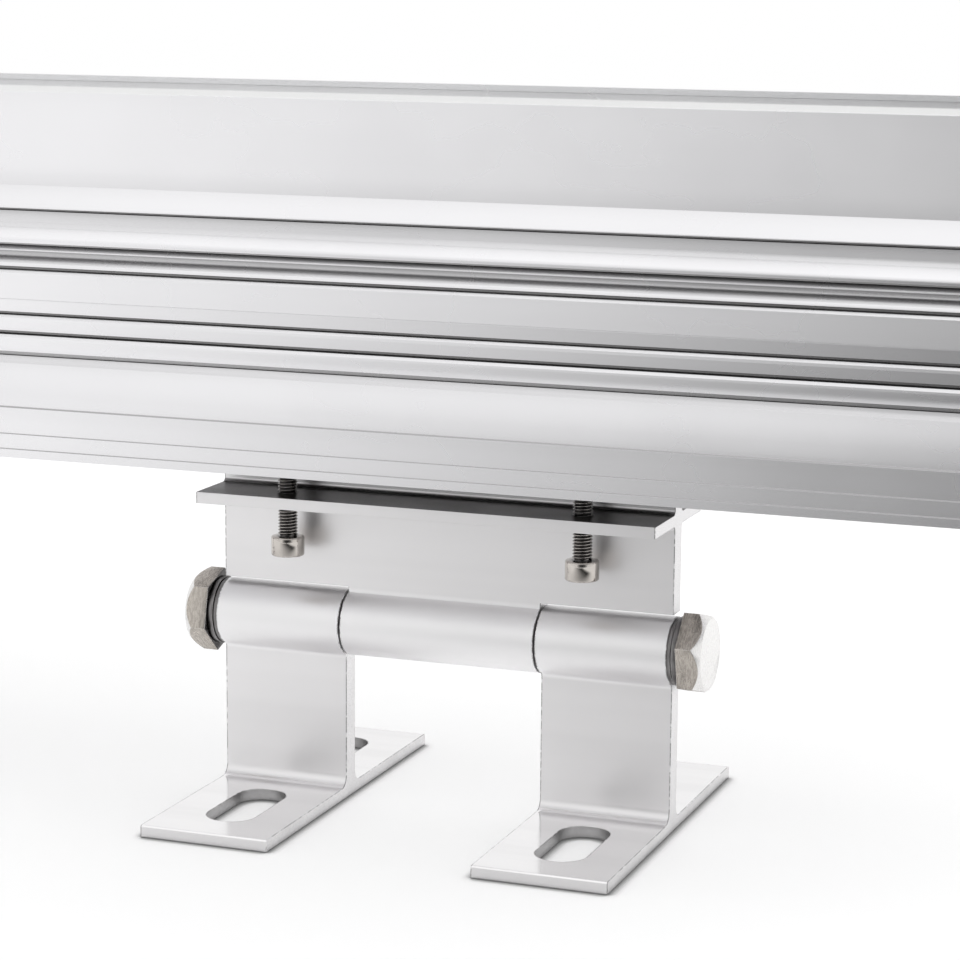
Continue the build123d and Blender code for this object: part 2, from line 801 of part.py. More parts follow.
def make_pivot_bolt(centre, side):
    """A hexagon head bolt that pins one foot to the bracket's barrel."""
    seat = bolt_seat
    end = seat + bolt_head_height
    head = hexagon_along_x(bolt_across_flats, seat, end, 0, hinge_height, bolt_turns[side])
    corner = bolt_across_flats / math.sqrt(3)
    face_radius = bolt_across_flats / 2 * head_face_share
    drop = (corner - face_radius) * math.tan(math.radians(head_chamfer_angle))
    cone = Cone(corner, face_radius, drop, align=(Align.CENTER, Align.CENTER, Align.MIN))
    dome = Pos(end - drop, 0, hinge_height) * Rot(0, 90, 0) * cone
    dome += rod_along_x(2 * corner, seat, end - drop, 0, hinge_height)
    head = head & dome
    shank = rod_along_x(bolt_diameter, bolt_tip_gap, seat, 0, hinge_height)
    shank = chamfer(shank.faces().sort_by(Axis.X)[0].edges(), bolt_end_chamfer)
    bolt = sided(head + shank, side)
    return Pos(centre, 0, 0) * bolt


def build_lamp():
    """The housing and all that it holds."""
    write("housing", make_housing())
    write("cover_glass", make_glass())
    write("glass_gasket", make_glass_gasket())
    write("driver", make_driver())
    write("driver_screws", joined(make_driver_screw(x, y) for x, y in driver_screw_places()))
    write("board_link", make_board_link())
    write("lead_terminal", make_terminal())
    write("floor_grommet", make_grommet())
    write("led_lead", make_led_lead())
    for name, side in gland_sides.items():
        write(f"led_board_{name}", make_board(side))
        write(f"led_chips_{name}", joined(make_led(x, y) for x, y in led_places(side)))
        write(f"lenses_{name}", joined(make_lens(x, y) for x, y in led_places(side)))
        write(f"board_screws_{name}", joined(make_board_screw(x, y) for x, y in board_screw_places(side)))
        write(f"end_cap_{name}", make_end_cap(side))
        write(f"cap_gasket_{name}", make_cap_gasket(side))
        write(f"cap_screws_{name}", joined(
            pan_screw_along_x(side, mirrored * y, z) for y, z in ports for mirrored in (-1, 1)))
        write(f"gland_body_{name}", make_gland_body(side))
        write(f"gland_seal_{name}", make_gland_seal(side))
        write(f"gland_insert_{name}", make_gland_insert(side))
        write(f"gland_dome_nut_{name}", make_gland_dome(side))
        write(f"gland_lock_nut_{name}", make_lock_nut(side))
        write(f"supply_lead_{name}", make_supply_lead(side))


def build_bracket(name, centre):
    """One bracket, its feet and its fasteners."""
    outward = gland_sides[name]
    write(f"clamp_bracket_{name}", make_clamp_bracket(centre))
    write(f"clamp_screws_{name}", joined(make_clamp_screw(x, y) for x, y in clamp_screw_places(centre)))
    for place, sign in foot_sides.items():
        side = sign * outward
        write(f"foot_{name}_{place}", make_foot(centre + side * foot_centre))
        write(f"pivot_bolt_{name}_{place}", make_pivot_bolt(centre, side))
        write(f"flat_washer_{name}_{place}", make_ring(
            flat_washer_outer, stack_start(), flat_washer_thickness, centre, side))
        write(f"spring_washer_{name}_{place}", make_spring_washer(centre, side))


os.makedirs("parts", exist_ok=True)
build_lamp()
for bracket_name, bracket_centre in bracket_centres.items():
    build_bracket(bracket_name, bracket_centre)
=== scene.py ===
"""Linear floodlight on two hinged brackets.

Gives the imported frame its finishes, models the small fasteners and sets a plain studio.
"""

import json
import math
from contextlib import contextmanager

import bpy
from bpy.props import FloatProperty, FloatVectorProperty, IntProperty, PointerProperty
from mathutils import Matrix, Vector

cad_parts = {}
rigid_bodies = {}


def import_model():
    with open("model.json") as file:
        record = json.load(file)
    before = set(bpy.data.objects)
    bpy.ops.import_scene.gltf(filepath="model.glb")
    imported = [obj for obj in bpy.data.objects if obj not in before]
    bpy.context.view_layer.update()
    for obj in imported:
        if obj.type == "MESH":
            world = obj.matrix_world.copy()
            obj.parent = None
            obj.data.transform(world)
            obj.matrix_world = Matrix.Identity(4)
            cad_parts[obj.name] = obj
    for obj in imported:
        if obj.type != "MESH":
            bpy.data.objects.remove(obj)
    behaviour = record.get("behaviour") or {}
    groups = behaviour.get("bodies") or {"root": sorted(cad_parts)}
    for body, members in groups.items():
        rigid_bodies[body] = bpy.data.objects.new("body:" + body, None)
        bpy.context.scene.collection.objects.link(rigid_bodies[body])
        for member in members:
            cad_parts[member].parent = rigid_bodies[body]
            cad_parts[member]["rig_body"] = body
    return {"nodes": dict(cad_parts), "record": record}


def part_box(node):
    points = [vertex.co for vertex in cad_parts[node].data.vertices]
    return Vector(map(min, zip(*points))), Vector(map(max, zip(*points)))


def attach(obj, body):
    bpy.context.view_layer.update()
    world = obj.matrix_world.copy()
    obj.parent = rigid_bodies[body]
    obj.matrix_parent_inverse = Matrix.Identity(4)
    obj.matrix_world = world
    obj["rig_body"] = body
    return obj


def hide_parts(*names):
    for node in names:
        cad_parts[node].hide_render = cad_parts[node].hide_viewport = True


bl_info = {
    "name": "Linear Floodlight",
    "version": (1, 0, 0),
    "blender": (4, 5, 0),
    "location": "3D View > Sidebar > Floodlight",
    "description": "Dresses the packed linear floodlight and sets it in a plain studio",
    "category": "Object",
}

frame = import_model()
nodes = frame["nodes"]
slot_of = {part["node"]: part["material_slot"] for part in frame["record"]["subparts"]}

# Shared values

MM = 0.001
SIDES = {"left": -1, "right": 1}
HINGE_ENDS = [f"{side}_{place}" for side in SIDES for place in ("outer", "inner")]
BLACK = (0.0, 0.0, 0.0)
WHITE = (1.0, 1.0, 1.0)
MERGE_DISTANCE = 0.001 * MM
CUTTER_REACH = 1.0 * MM
OVERLAP = 0.1 * MM
FACING = 0.9
SIDEWAYS = 0.5

# Heights on the frame

HOUSING_LOW, HOUSING_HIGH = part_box("housing")
HINGE_HEIGHT = 46.6 * MM
BARREL_RADIUS = 8.67 * MM
BARREL_BLEND = 1.0 * MM
PLATE_TOP = 3.0 * MM
SLOT_WALL_TOP = PLATE_TOP - 0.2 * MM
PLATE_FADE = (PLATE_TOP + 0.8 * MM, PLATE_TOP + 0.2 * MM)
FLANGE_BOTTOM = 78.5 * MM
# Sets where the bands of painted shade on the flange and the skirt start and fade.
SHADE_BAND = 1.0 * MM
FLANGE_FADE = (FLANGE_BOTTOM + SHADE_BAND, FLANGE_BOTTOM + 1.5 * SHADE_BAND)
SKIRT_SHARE = 0.20
SKIRT_TOP = HOUSING_LOW.z + SKIRT_SHARE * (HOUSING_HIGH.z - HOUSING_LOW.z)

# Finishes

FINISH_NAMES = {
    "body_aluminium": "Drawn body aluminium",
    "bracket_aluminium": "Satin bracket aluminium",
    "cover_glass": "Clear cover glass",
    "lens_clear": "Clear lens plastic",
    "silicone": "Black gasket silicone",
    "black_rubber": "Black seal rubber",
    "lead_sheath": "Black lead sheath",
    "gland_nylon": "Black gland nylon",
    "connector_white": "White connector plastic",
    "driver_case": "Painted driver case",
    "board_white": "White board mask",
    "led_phosphor": "Yellow phosphor",
    "small_screw_steel": "Small screw steel",
    "screw_stainless": "Polished clamp screw steel",
    "bolt_stainless": "Drawn hex bolt steel",
    "washer_stainless": "Stamped washer steel",
    "floor": "Studio floor",
}
# The dark tone of painted shade, and also of the burrs round sawn ends.
SHADE_AND_BURR_TONE = (0.07, 0.067, 0.066)
# Painted light: the paler tone of the hinge barrels.
BARREL_LIGHT_TONE = (0.97, 0.965, 0.97)
SAWN_TONE = (0.42, 0.41, 0.41)
# Painted highlights: the paler tones of sharp edges.
ALUMINIUM_EDGE_HIGHLIGHT = (0.97, 0.97, 0.98)
STEEL_EDGE_HIGHLIGHT = (0.92, 0.90, 0.88)
BARREL_LIGHT_SHARE = 0.8
SAWN_SHARE = 0.4
BURR_SHARE = 0.85
SLOT_WALL_SHARE = 0.65
PLATE_FRONT_SHARE = 0.1
GROOVE_SHARE = 0.95
# Share of painted shade on the skirt's upward faces.
SKIRT_SHADE_SHARE = 0.55
ALUMINIUM_EDGE_HIGHLIGHT_SHARE = 0.25
STEEL_MOTTLE_SHARE = 0.3
STREAK_SHADE = 0.94
STEEL_SHADE = 0.28
MOULDED_SHADE = 0.85
TRACK_SHADE = 0.88
PALER_GAIN = 1.25
PALER_LIFT = 0.02
MOTTLE_SPREAD = 0.06
STREAK_SPREAD = 0.08
GRAIN_SPREAD = 0.12
SMEAR_SPREAD = 0.3
BOARD_SPREAD = 0.1
PLATE_SMOOTHING = -0.24
BARREL_DULLING = 0.06
LINE_STRENGTH = 0.35
GRAIN_STRENGTH = 0.5
MOULD_STRENGTH = 0.4
MOULD_GRAIN_DEPTH = 0.03 * MM
TRACK_STRENGTH = 0.5
TRACK_DEPTH = 0.04 * MM
BURR_RADIUS = 0.5 * MM
BURR_NOISE = 700.0
MOULD_NOISE = 2500.0
SMEAR_NOISE = 18.0
SPECK_NOISE = 3600.0
LINE_STRETCH = (0.004, 1.0, 1.0)
GRAIN_STRETCH = (1.0, 0.25, 0.25)
SMEAR_STRETCH = (1.0, 3.0, 1.0)
NOISE_SPAN = (0.35, 0.65)
SPECK_SPAN = (0.46, 0.64)
BURR_NOISE_SPAN = (0.36, 0.52)
BURR_TURN_SPAN = (0.06, 0.3)
EDGE_TURN_SPAN = (0.01, 0.15)
UPWARD_SPAN = (0.15, 0.5)
FLAT_SPAN = (0.9, 0.97)
BOLT_END_SPAN = (0.5, 0.6)
EDGE_SAMPLES = 6
# Samples of the occlusion masks that place painted shade.
SHADE_SAMPLES = 8

# Fasteners

THREAD_FLANK_SHARE = 0.44
CLAMP_THREAD_DEPTH = 0.55 * MM
CLAMP_CORE_DEPTH = 0.5 * MM
BOLT_THREAD_DEPTH = 1.1 * MM
BOLT_CORE_DEPTH = 1.0 * MM
BOLT_PITCH = 1.75 * MM
PLAIN_SHANK_SHARE = 0.45
FACE_SHARE = 0.95
HEAD_CHAMFER = math.radians(50)
BOLT_TURNS = {1: math.radians(-16.1), -1: math.radians(17.6)}
SPLIT_TURNS = {1: math.radians(-14), -1: math.radians(-32)}
WIRE_SHARE = 0.86
SCREW_RIM_SHARE = 0.25
CAP_THREAD = {"outer": 1.55 * MM, "core": 1.2 * MM, "pitch": 0.7 * MM}
CAP_CORE_RADIUS = 1.25 * MM
CAP_SHANK_TOP = 0.3 * MM
CAP_KEY_TURN = math.radians(30)
END_DEPTH = 0.05 * MM
BOARD_SCREW_RADIUS = 2.8 * MM
BOARD_SHANK_RADIUS = 1.35 * MM
BOARD_SHANK_TOP = 0.2 * MM
BOARD_SCREW_COLUMNS = 3
CROSS_BLADE = (3.0 * MM, 0.6 * MM, 1.8 * MM)

# Dome nuts

DOME_SIDES = 96
RIB_HEIGHT = 0.5 * MM
RIB_CUTS = (0.08, 0.62)
RIB_BAND = (0.1, 0.6)
FACES_PER_RIB = 4
NECK_RADIUS = 7.6 * MM
MOUTH_RADIUS = 4.0 * MM
DOME_WALL = 1.6 * MM
TOP_DEPTH = 0.01 * MM

# Lenses and chips

LED_ROW_SPACING = 30.0 * MM
LEDS_PER_ROW = 8
POCKET_RADIUS = 3.0 * MM
POCKET_DEPTH = 4.0 * MM
POCKET_SHARES = ((0.6, 0.97), (1.0, 0.8))
LENS_FOOT = 6.5 * MM
LENS_RIM = 1.5 * MM
LENS_BEVEL = 0.3 * MM
RIM_STEP = 1.0 * MM
CROWN_INSET = 1.2 * MM
CROWN_SLOPE = 0.4 * MM
CROWN_DEPTH = 0.7 * MM
FLANK_BOW = 0.8
CHIP_SIZE = 3.5 * MM
CHIP_FLATNESS = 0.17
CHIP_DOME = {"radius": 1.4 * MM, "foot": 0.3 * MM, "top": 1.6 * MM}

# Studio

CAMERA_PLACE = (0.40407, -0.66558, 0.2143)
CAMERA_TURNS = (20.24, 10.25, 0.47)
FOCAL_PIXELS = 2864.18
SENSOR_WIDTH = 36.0
LAMP_MIDDLE = (0.0, 0.0, 0.1)
FLOOR_SCALE = 3.0
FLOOR_SHIFT = (0.0, 0.6, -0.2 * MM)
# Share of the floor's painted contact shadow.
CONTACT_SHADOW_SHARE = 0.75
WEDGE_TIP = (0.39, 0.53)
WEDGE_TURN = 0.05
WEDGE_START = (0.0, -0.2)
WEDGE_END = (-1.75, -1.25)
RIGHT_SIDE_FALL = 2.5
DARK_AIM = (0.34, -0.94, -0.05)
DARK_SPAN = (0.76, 1.0)


# Settings

def colour_setting(name, description, default):
    """A colour that a user would change."""
    return FloatVectorProperty(
        name=name, description=description, default=default, subtype="COLOR", min=0.0, max=1.0, size=3)


def number_setting(name, description, default, unit="NONE"):
    """A number that a user would change."""
    return FloatProperty(name=name, description=description, default=default, unit=unit, min=0.0)


def length_setting(name, description, millimetres):
    """A length that a user would change, given in millimetres and kept in metres."""
    return number_setting(name, description, millimetres * MM, "LENGTH")


class FloodlightFinish(bpy.types.PropertyGroup):
    """Colours of the floodlight's materials."""

    body_metal: colour_setting("Body metal", "Colour of the lamp's extruded body", (0.87, 0.865, 0.88))
    bracket_metal: colour_setting("Bracket metal", "Colour of the brackets and feet", (0.87, 0.86, 0.865))
    screw_steel: colour_setting("Screw steel", "Colour of the socket screws", (0.56, 0.525, 0.49))
    bolt_steel: colour_setting("Bolt steel", "Colour of the pivot bolts", (0.58, 0.535, 0.485))
    washer_steel: colour_setting("Washer steel", "Colour of the washers", (0.31, 0.30, 0.30))
    glass_tint: colour_setting("Glass tint", "Tint of the cover glass", (0.93, 0.97, 0.95))
    lens_tint: colour_setting("Lens tint", "Tint of the lenses", (0.96, 0.98, 1.0))
    rubber: colour_setting("Rubber", "Colour of seals and leads", (0.03, 0.03, 0.032))
    nylon: colour_setting("Nylon", "Colour of the cable glands", (0.06, 0.06, 0.065))
    mask_white: colour_setting("Board white", "Colour of the LED boards' coating", (0.88, 0.88, 0.86))
    connector: colour_setting("Connector", "Colour of the boards' connectors", (0.85, 0.85, 0.82))
    phosphor: colour_setting("Phosphor", "Colour of the unlit LED chips", (0.85, 0.62, 0.12))
    driver_case: colour_setting("Driver case", "Colour of the driver's case", (0.50, 0.51, 0.53))


class FloodlightFasteners(bpy.types.PropertyGroup):
    """Sizes of the small fasteners."""

    clamp_thread: length_setting("Clamp thread", "Outer diameter of the clamp screws' thread", 5.0)
    clamp_pitch: length_setting("Clamp pitch", "Pitch of the clamp screws' thread", 0.8)
    clamp_head: length_setting("Clamp head", "Diameter of the clamp screws' heads", 8.5)
    clamp_head_height: length_setting("Clamp head height", "Height of the clamp screws' heads", 5.0)
    clamp_key: length_setting("Clamp key", "Width of the clamp screws' sockets", 4.0)
    clamp_socket: length_setting("Clamp socket", "Depth of the clamp screws' sockets", 2.5)
    bolt_flats: length_setting("Bolt width", "Width of the bolt heads across the flats", 18.8)
    bolt_head: length_setting("Bolt head height", "Height of the bolt heads", 6.2)
    bolt_shank: length_setting("Bolt shank", "Diameter of the pivot bolts", 12.0)
    cap_head: length_setting("Cap screw head", "Diameter of the end cap screws' heads", 8.0)
    cap_key: length_setting("Cap screw key", "Width of the end cap screws' sockets", 2.5)
    cap_socket: length_setting("Cap screw socket", "Depth of the end cap screws' sockets", 1.5)
    washer_bore: length_setting("Washer bore", "Bore of the spring washers", 12.3)
    washer_split: FloatProperty(
        name="Washer split", description="Angle of the spring washers' split",
        default=math.radians(9.0), subtype="ANGLE")


class FloodlightStudio(bpy.types.PropertyGroup):
    """The floor and the lights."""

    floor_colour: colour_setting("Floor", "Colour of the floor", (0.80, 0.80, 0.80))
    floor_lift: number_setting("Floor lift", "Light that the floor adds to what is seen of it", 0.35)
    dome: number_setting("Dome", "Strength of the light from all round", 0.95)
    front_dark: number_setting("Front dark", "Share of the light that the dark front zone keeps", 0.05)
    dark_spread: number_setting(
        "Dark spread", "Half width of the dark zone, as a share of the distance", 0.76)
    overhead: number_setting("Overhead", "Power of the overhead panel", 0.8, "POWER")
    side: number_setting("Side", "Power of the left-hand panel", 1.2, "POWER")
    pixels: IntProperty(
        name="Picture width", description="Width of the square picture in pixels", default=960)


# Node trees

def feed(tree, value, socket):
    """Links an output to a socket, or sets the socket to a plain value."""
    if hasattr(value, "default_value"):
        tree.links.new(value, socket)
    elif socket.type == "RGBA":
        socket.default_value = (*value[:3], 1.0)
    else:
        socket.default_value = value


def new_node(tree, kind, settings=None, **values):
    """A node with its settings, and its named sockets linked or set."""
    node = tree.nodes.new(kind)
    for name, value in (settings or {}).items():
        setattr(node, name, value)
    for name, value in values.items():
        label = name.replace("_", " ").lower()
        socket = next(s for s in node.inputs if s.name.lower() == label and s.enabled)
        feed(tree, value, socket)
    return node


def math_node(tree, operation, *values):
    """One sum on one to three values, as a socket."""
    node = new_node(tree, "ShaderNodeMath", {"operation": operation})
    for value, socket in zip(values, node.inputs):
        feed(tree, value, socket)
    return node.outputs[0]


def times(tree, first, *others):
    """The product of two or more values."""
    for value in others:
        first = math_node(tree, "MULTIPLY", first, value)
    return first


def opposite(tree, mask):
    """A mask turned round: 1 where it is 0."""
    return math_node(tree, "SUBTRACT", 1.0, mask)


def varied(tree, mask, middle, spread):
    """A value that varies about a middle by a mask."""
    return math_node(tree, "MULTIPLY_ADD", mask, spread, middle - spread / 2)


def dot_product(tree, first, second):
    """How far two directions agree."""
    node = new_node(tree, "ShaderNodeVectorMath", {"operation": "DOT_PRODUCT"})
    feed(tree, first, node.inputs[0])
    feed(tree, second, node.inputs[1])
    return node.outputs["Value"]


def mix_colours(tree, share, first, second):
    """Two colours mixed by a share, as a socket."""
    node = new_node(tree, "ShaderNodeMix", {"data_type": "RGBA"})
    colours = [s for s in node.inputs if s.type == "RGBA"]
    for value, socket in zip((share, first, second), (node.inputs[0], *colours)):
        feed(tree, value, socket)
    return next(s for s in node.outputs if s.type == "RGBA")


def ramp(tree, value, low, high, kind="SMOOTHSTEP"):
    """A value that runs from 0 to 1 as another runs from low to high."""
    node = new_node(
        tree, "ShaderNodeMapRange", {"interpolation_type": kind}, Value=value, From_Min=low, From_Max=high)
    return node.outputs["Result"]


def own_place(tree):
    """The piece's own coordinates."""
    return tree.nodes.new("ShaderNodeTexCoord").outputs["Object"]


def axis_part(tree, vector, axis):
    """One axis of a vector."""
    return new_node(tree, "ShaderNodeSeparateXYZ", Vector=vector).outputs[axis]


def noise(tree, scale, detail, stretch=None, roughness=0.5):
    """Noise on the piece's own place, stretched along each axis where that is given."""
    place = own_place(tree)
    if stretch:
        place = new_node(tree, "ShaderNodeMapping", Vector=place, Scale=stretch).outputs[0]
    node = new_node(tree, "ShaderNodeTexNoise", Vector=place, Scale=scale, Detail=detail, Roughness=roughness)
    return node.outputs["Fac"]


def bump(tree, height, strength, distance, normal=None):
    """A bump from a height, over a normal where one is given."""
    node = new_node(tree, "ShaderNodeBump", Strength=strength, Distance=distance, Height=height)
    if normal is not None:
        feed(tree, normal, node.inputs["Normal"])
    return node.outputs["Normal"]


def bevelled_normal(tree, radius):
    """The normal as it would be with sharp edges rounded."""
    return new_node(tree, "ShaderNodeBevel", {"samples": EDGE_SAMPLES}, Radius=radius).outputs[0]


def scaled(colour, share):
    """A colour times a share."""
    return tuple(share * part for part in colour)


# Effects that several materials share

def effect_group(name, inputs, outputs):
    """An empty node group with its sockets, and its input and output nodes."""
    group = bpy.data.node_groups.new(name, "ShaderNodeTree")
    for label, default in inputs.items():
        socket = group.interface.new_socket(name=label, in_out="INPUT", socket_type="NodeSocketFloat")
        socket.default_value = default
    for label in outputs:
        kind = "NodeSocketVector" if label == "Normal" else "NodeSocketFloat"
        group.interface.new_socket(name=label, in_out="OUTPUT", socket_type=kind)
    given = group.nodes.new("NodeGroupInput").outputs
    out = group.nodes.new("NodeGroupOutput").inputs
    return group, given, out


def drawn_lines_group():
    """Fine lines along X, as a die leaves them on an extrusion."""
    group, given, out = effect_group("Drawn lines", {"Density": 900.0, "Streaks": 90.0}, ["Height", "Streak"])
    feed(group, noise(group, given["Density"], detail=3.0, stretch=LINE_STRETCH), out["Height"])
    feed(group, noise(group, given["Streaks"], detail=2.0, stretch=LINE_STRETCH), out["Streak"])


def mottle_group():
    """Broad soft changes of tone and finish."""
    group, given, out = effect_group("Soft mottle", {"Scale": 25.0, "Low": 0.35, "High": 0.65}, ["Mask"])
    spots = noise(group, given["Scale"], detail=4.0, roughness=0.55)
    feed(group, ramp(group, spots, given["Low"], given["High"], "LINEAR"), out["Mask"])


def soft_edge_group():
    """Rounds sharp edges in the shading, and marks them for painted highlights."""
    group, given, out = effect_group("Soft edge", {"Radius": 0.4 * MM}, ["Normal", "Mask"])
    rounded = bevelled_normal(group, given["Radius"])
    flat = group.nodes.new("ShaderNodeNewGeometry").outputs["Normal"]
    turned = opposite(group, dot_product(group, rounded, flat))
    feed(group, rounded, out["Normal"])
    feed(group, ramp(group, turned, *EDGE_TURN_SPAN), out["Mask"])


def recess_group(name, own_only):
    """Marks grooves and places that other pieces close in, where shade falls, as a mask for painted shade."""
    group, given, out = effect_group(name, {"Reach": 3.0 * MM, "Open": 0.6, "Closed": 0.25}, ["Mask"])
    near = new_node(
        group, "ShaderNodeAmbientOcclusion", {"samples": SHADE_SAMPLES, "only_local": own_only},
        Distance=given["Reach"])
    feed(group, ramp(group, near.outputs["AO"], given["Open"], given["Closed"], "LINEAR"), out["Mask"])


def effect(tree, name, **values):
    """The outputs of an effect group's node in a material."""
    node = tree.nodes.new("ShaderNodeGroup")
    node.node_tree = bpy.data.node_groups[name]
    for label, value in values.items():
        node.inputs[label].default_value = value
    return node.outputs


# Masks

def own_normal(tree, axis):
    """One axis of the face's normal, as the piece itself is turned."""
    normal = tree.nodes.new("ShaderNodeNewGeometry").outputs["True Normal"]
    own = new_node(tree, "ShaderNodeVectorTransform", {
        "vector_type": "NORMAL", "convert_from": "WORLD", "convert_to": "OBJECT"}, Vector=normal)
    return axis_part(tree, own.outputs["Vector"], axis)


def facing_mask(tree, axis, span):
    """1 on faces that look either way along one of the piece's axes."""
    return ramp(tree, math_node(tree, "ABSOLUTE", own_normal(tree, axis)), *span)


def upward_mask(tree):
    """1 on faces that look up."""
    return ramp(tree, own_normal(tree, "Z"), *UPWARD_SPAN)


def height_mask(tree, start, end):
    """0 at one height and 1 at another, with a soft change between them."""
    return ramp(tree, axis_part(tree, own_place(tree), "Z"), start, end)


def hinge_band(tree):
    """1 at the height of the hinge barrels."""
    low = HINGE_HEIGHT - BARREL_RADIUS
    high = HINGE_HEIGHT + BARREL_RADIUS
    above = height_mask(tree, low - BARREL_BLEND, low)
    under = height_mask(tree, high + BARREL_BLEND, high)
    return times(tree, above, under)


def sawn_outline(tree):
    """1 along the edges of faces that look along X, where the saw leaves a burr."""
    rounded = bevelled_normal(tree, BURR_RADIUS)
    flat = tree.nodes.new("ShaderNodeNewGeometry").outputs["Normal"]
    turned = math_node(tree, "SUBTRACT", axis_part(tree, rounded, "X"), axis_part(tree, flat, "X"))
    return ramp(tree, math_node(tree, "ABSOLUTE", turned), *BURR_TURN_SPAN)


# Materials

def new_material(slot):
    """An empty material for a slot, as its tree and its shader."""
    material = bpy.data.materials.new(FINISH_NAMES[slot])
    material.use_nodes = True
    return material.node_tree, material.node_tree.nodes["Principled BSDF"]


def fill(tree, shader, values):
    """Feeds the named sockets of a material's shader."""
    for name, value in values.items():
        feed(tree, value, shader.inputs[name])


def join_shaders(tree, kind, first, second):
    """Two shaders mixed or added, and shown on the surface."""
    node = tree.nodes.new(kind)
    sockets = [s for s in node.inputs if s.type == "SHADER"]
    tree.links.new(first.outputs[0], sockets[0])
    tree.links.new(second.outputs[0], sockets[1])
    tree.links.new(node.outputs[0], tree.nodes["Material Output"].inputs["Surface"])
    return node


def extruded_metal(slot, colour, roughness, line_depth, edge_radius):
    """Satin aluminium with lines along X: its tree and shader, and its tone and roughness so far."""
    tree, shader = new_material(slot)
    lines = effect(tree, "Drawn lines", Density=900.0, Streaks=70.0)
    mottle = effect(tree, "Soft mottle", Scale=22.0)
    edge = effect(tree, "Soft edge", Radius=edge_radius)
    tone = mix_colours(tree, ramp(tree, lines["Streak"], *NOISE_SPAN), scaled(colour, STREAK_SHADE), colour)
    # Painted highlight: sharp edges are painted paler.
    tone = mix_colours(tree, times(tree, edge["Mask"], ALUMINIUM_EDGE_HIGHLIGHT_SHARE), tone, ALUMINIUM_EDGE_HIGHLIGHT)
    rough = varied(tree, mottle["Mask"], roughness - STREAK_SPREAD / 2, MOTTLE_SPREAD)
    rough = math_node(tree, "MULTIPLY_ADD", lines["Streak"], STREAK_SPREAD, rough)
    fill(tree, shader, {
        "Metallic": 1.0,
        "Normal": bump(tree, lines["Height"], LINE_STRENGTH, line_depth, edge["Normal"]),
    })
    return tree, shader, tone, rough


def lamp_metal(slot, colour, **look):
    """The lamp's body, with painted shade in its grooves and on the upward faces of its skirt."""
    tree, shader, tone, rough = extruded_metal(slot, colour, **look)
    # Painted shade: the grooves are painted dark where little open space is near them.
    shade_mask = effect(tree, "Groove film", Reach=5.0 * MM, Open=0.94, Closed=0.28)
    # Painted shade on the skirt's upward faces, which dims their highlight.
    skirt = height_mask(tree, SKIRT_TOP + SHADE_BAND, SKIRT_TOP)
    skirt_shade = times(tree, skirt, upward_mask(tree), SKIRT_SHADE_SHARE)
    painted_shade = math_node(tree, "MAXIMUM", times(tree, shade_mask["Mask"], GROOVE_SHARE), skirt_shade)
    fill(tree, shader, {"Base Color": mix_colours(tree, painted_shade, tone, SHADE_AND_BURR_TONE), "Roughness": rough})


def bracket_metal(slot, colour, **look):
    """The brackets and feet, marked by the saw, with painted shade on the flange's top under the lamp."""
    tree, shader, tone, rough = extruded_metal(slot, colour, **look)
    # Painted shade: the flange's top is painted dark where the lamp is over it.
    shade_mask = effect(tree, "Covered film", Reach=20.0 * MM, Open=0.80, Closed=0.40)
    painted_shade = times(tree, shade_mask["Mask"], height_mask(tree, *FLANGE_FADE), upward_mask(tree))
    tone = mix_colours(tree, painted_shade, bracket_marks(tree, tone), SHADE_AND_BURR_TONE)
    fill(tree, shader, {"Base Color": tone, "Roughness": bracket_roughness(tree, rough)})


def bracket_marks(tree, tone):
    """Barrels painted paler as painted light, speckled sawn ends with burrs round them, and painted shade on
    the slots' walls and the plates' sides.
    """
    # Painted light: the hinge barrels are painted paler than the rest of the bracket.
    tone = mix_colours(tree, times(tree, hinge_band(tree), BARREL_LIGHT_SHARE), tone, BARREL_LIGHT_TONE)
    speck = ramp(tree, noise(tree, SPECK_NOISE, detail=3.0), *SPECK_SPAN)
    sawn = times(tree, facing_mask(tree, "X", FLAT_SPAN), speck, SAWN_SHARE)
    tone = mix_colours(tree, sawn, tone, SAWN_TONE)
    broken = ramp(tree, noise(tree, BURR_NOISE, detail=2.0), *BURR_NOISE_SPAN)
    burr = times(tree, sawn_outline(tree), broken, BURR_SHARE)
    tone = mix_colours(tree, burr, tone, SHADE_AND_BURR_TONE)
    # Painted shade on the walls of the slots and the sides of the plates, below the plates' tops.
    walls = effect(tree, "Groove film", Reach=20.0 * MM, Open=0.97, Closed=0.86)
    wall = times(tree, walls["Mask"], SLOT_WALL_SHARE)
    front = times(tree, facing_mask(tree, "Y", FLAT_SPAN), PLATE_FRONT_SHARE)
    shaded_faces = math_node(tree, "MAXIMUM", wall, front)
    level = height_mask(tree, PLATE_TOP, SLOT_WALL_TOP)
    return mix_colours(tree, times(tree, shaded_faces, level, opposite(tree, upward_mask(tree))), tone, SHADE_AND_BURR_TONE)


def bracket_roughness(tree, rough):
    """Smoother plates and duller hinge barrels than the rest of the bracket."""
    plate = times(tree, upward_mask(tree), height_mask(tree, *PLATE_FADE))
    rough = math_node(tree, "MULTIPLY_ADD", plate, PLATE_SMOOTHING, rough)
    return math_node(tree, "MULTIPLY_ADD", hinge_band(tree), BARREL_DULLING, rough)


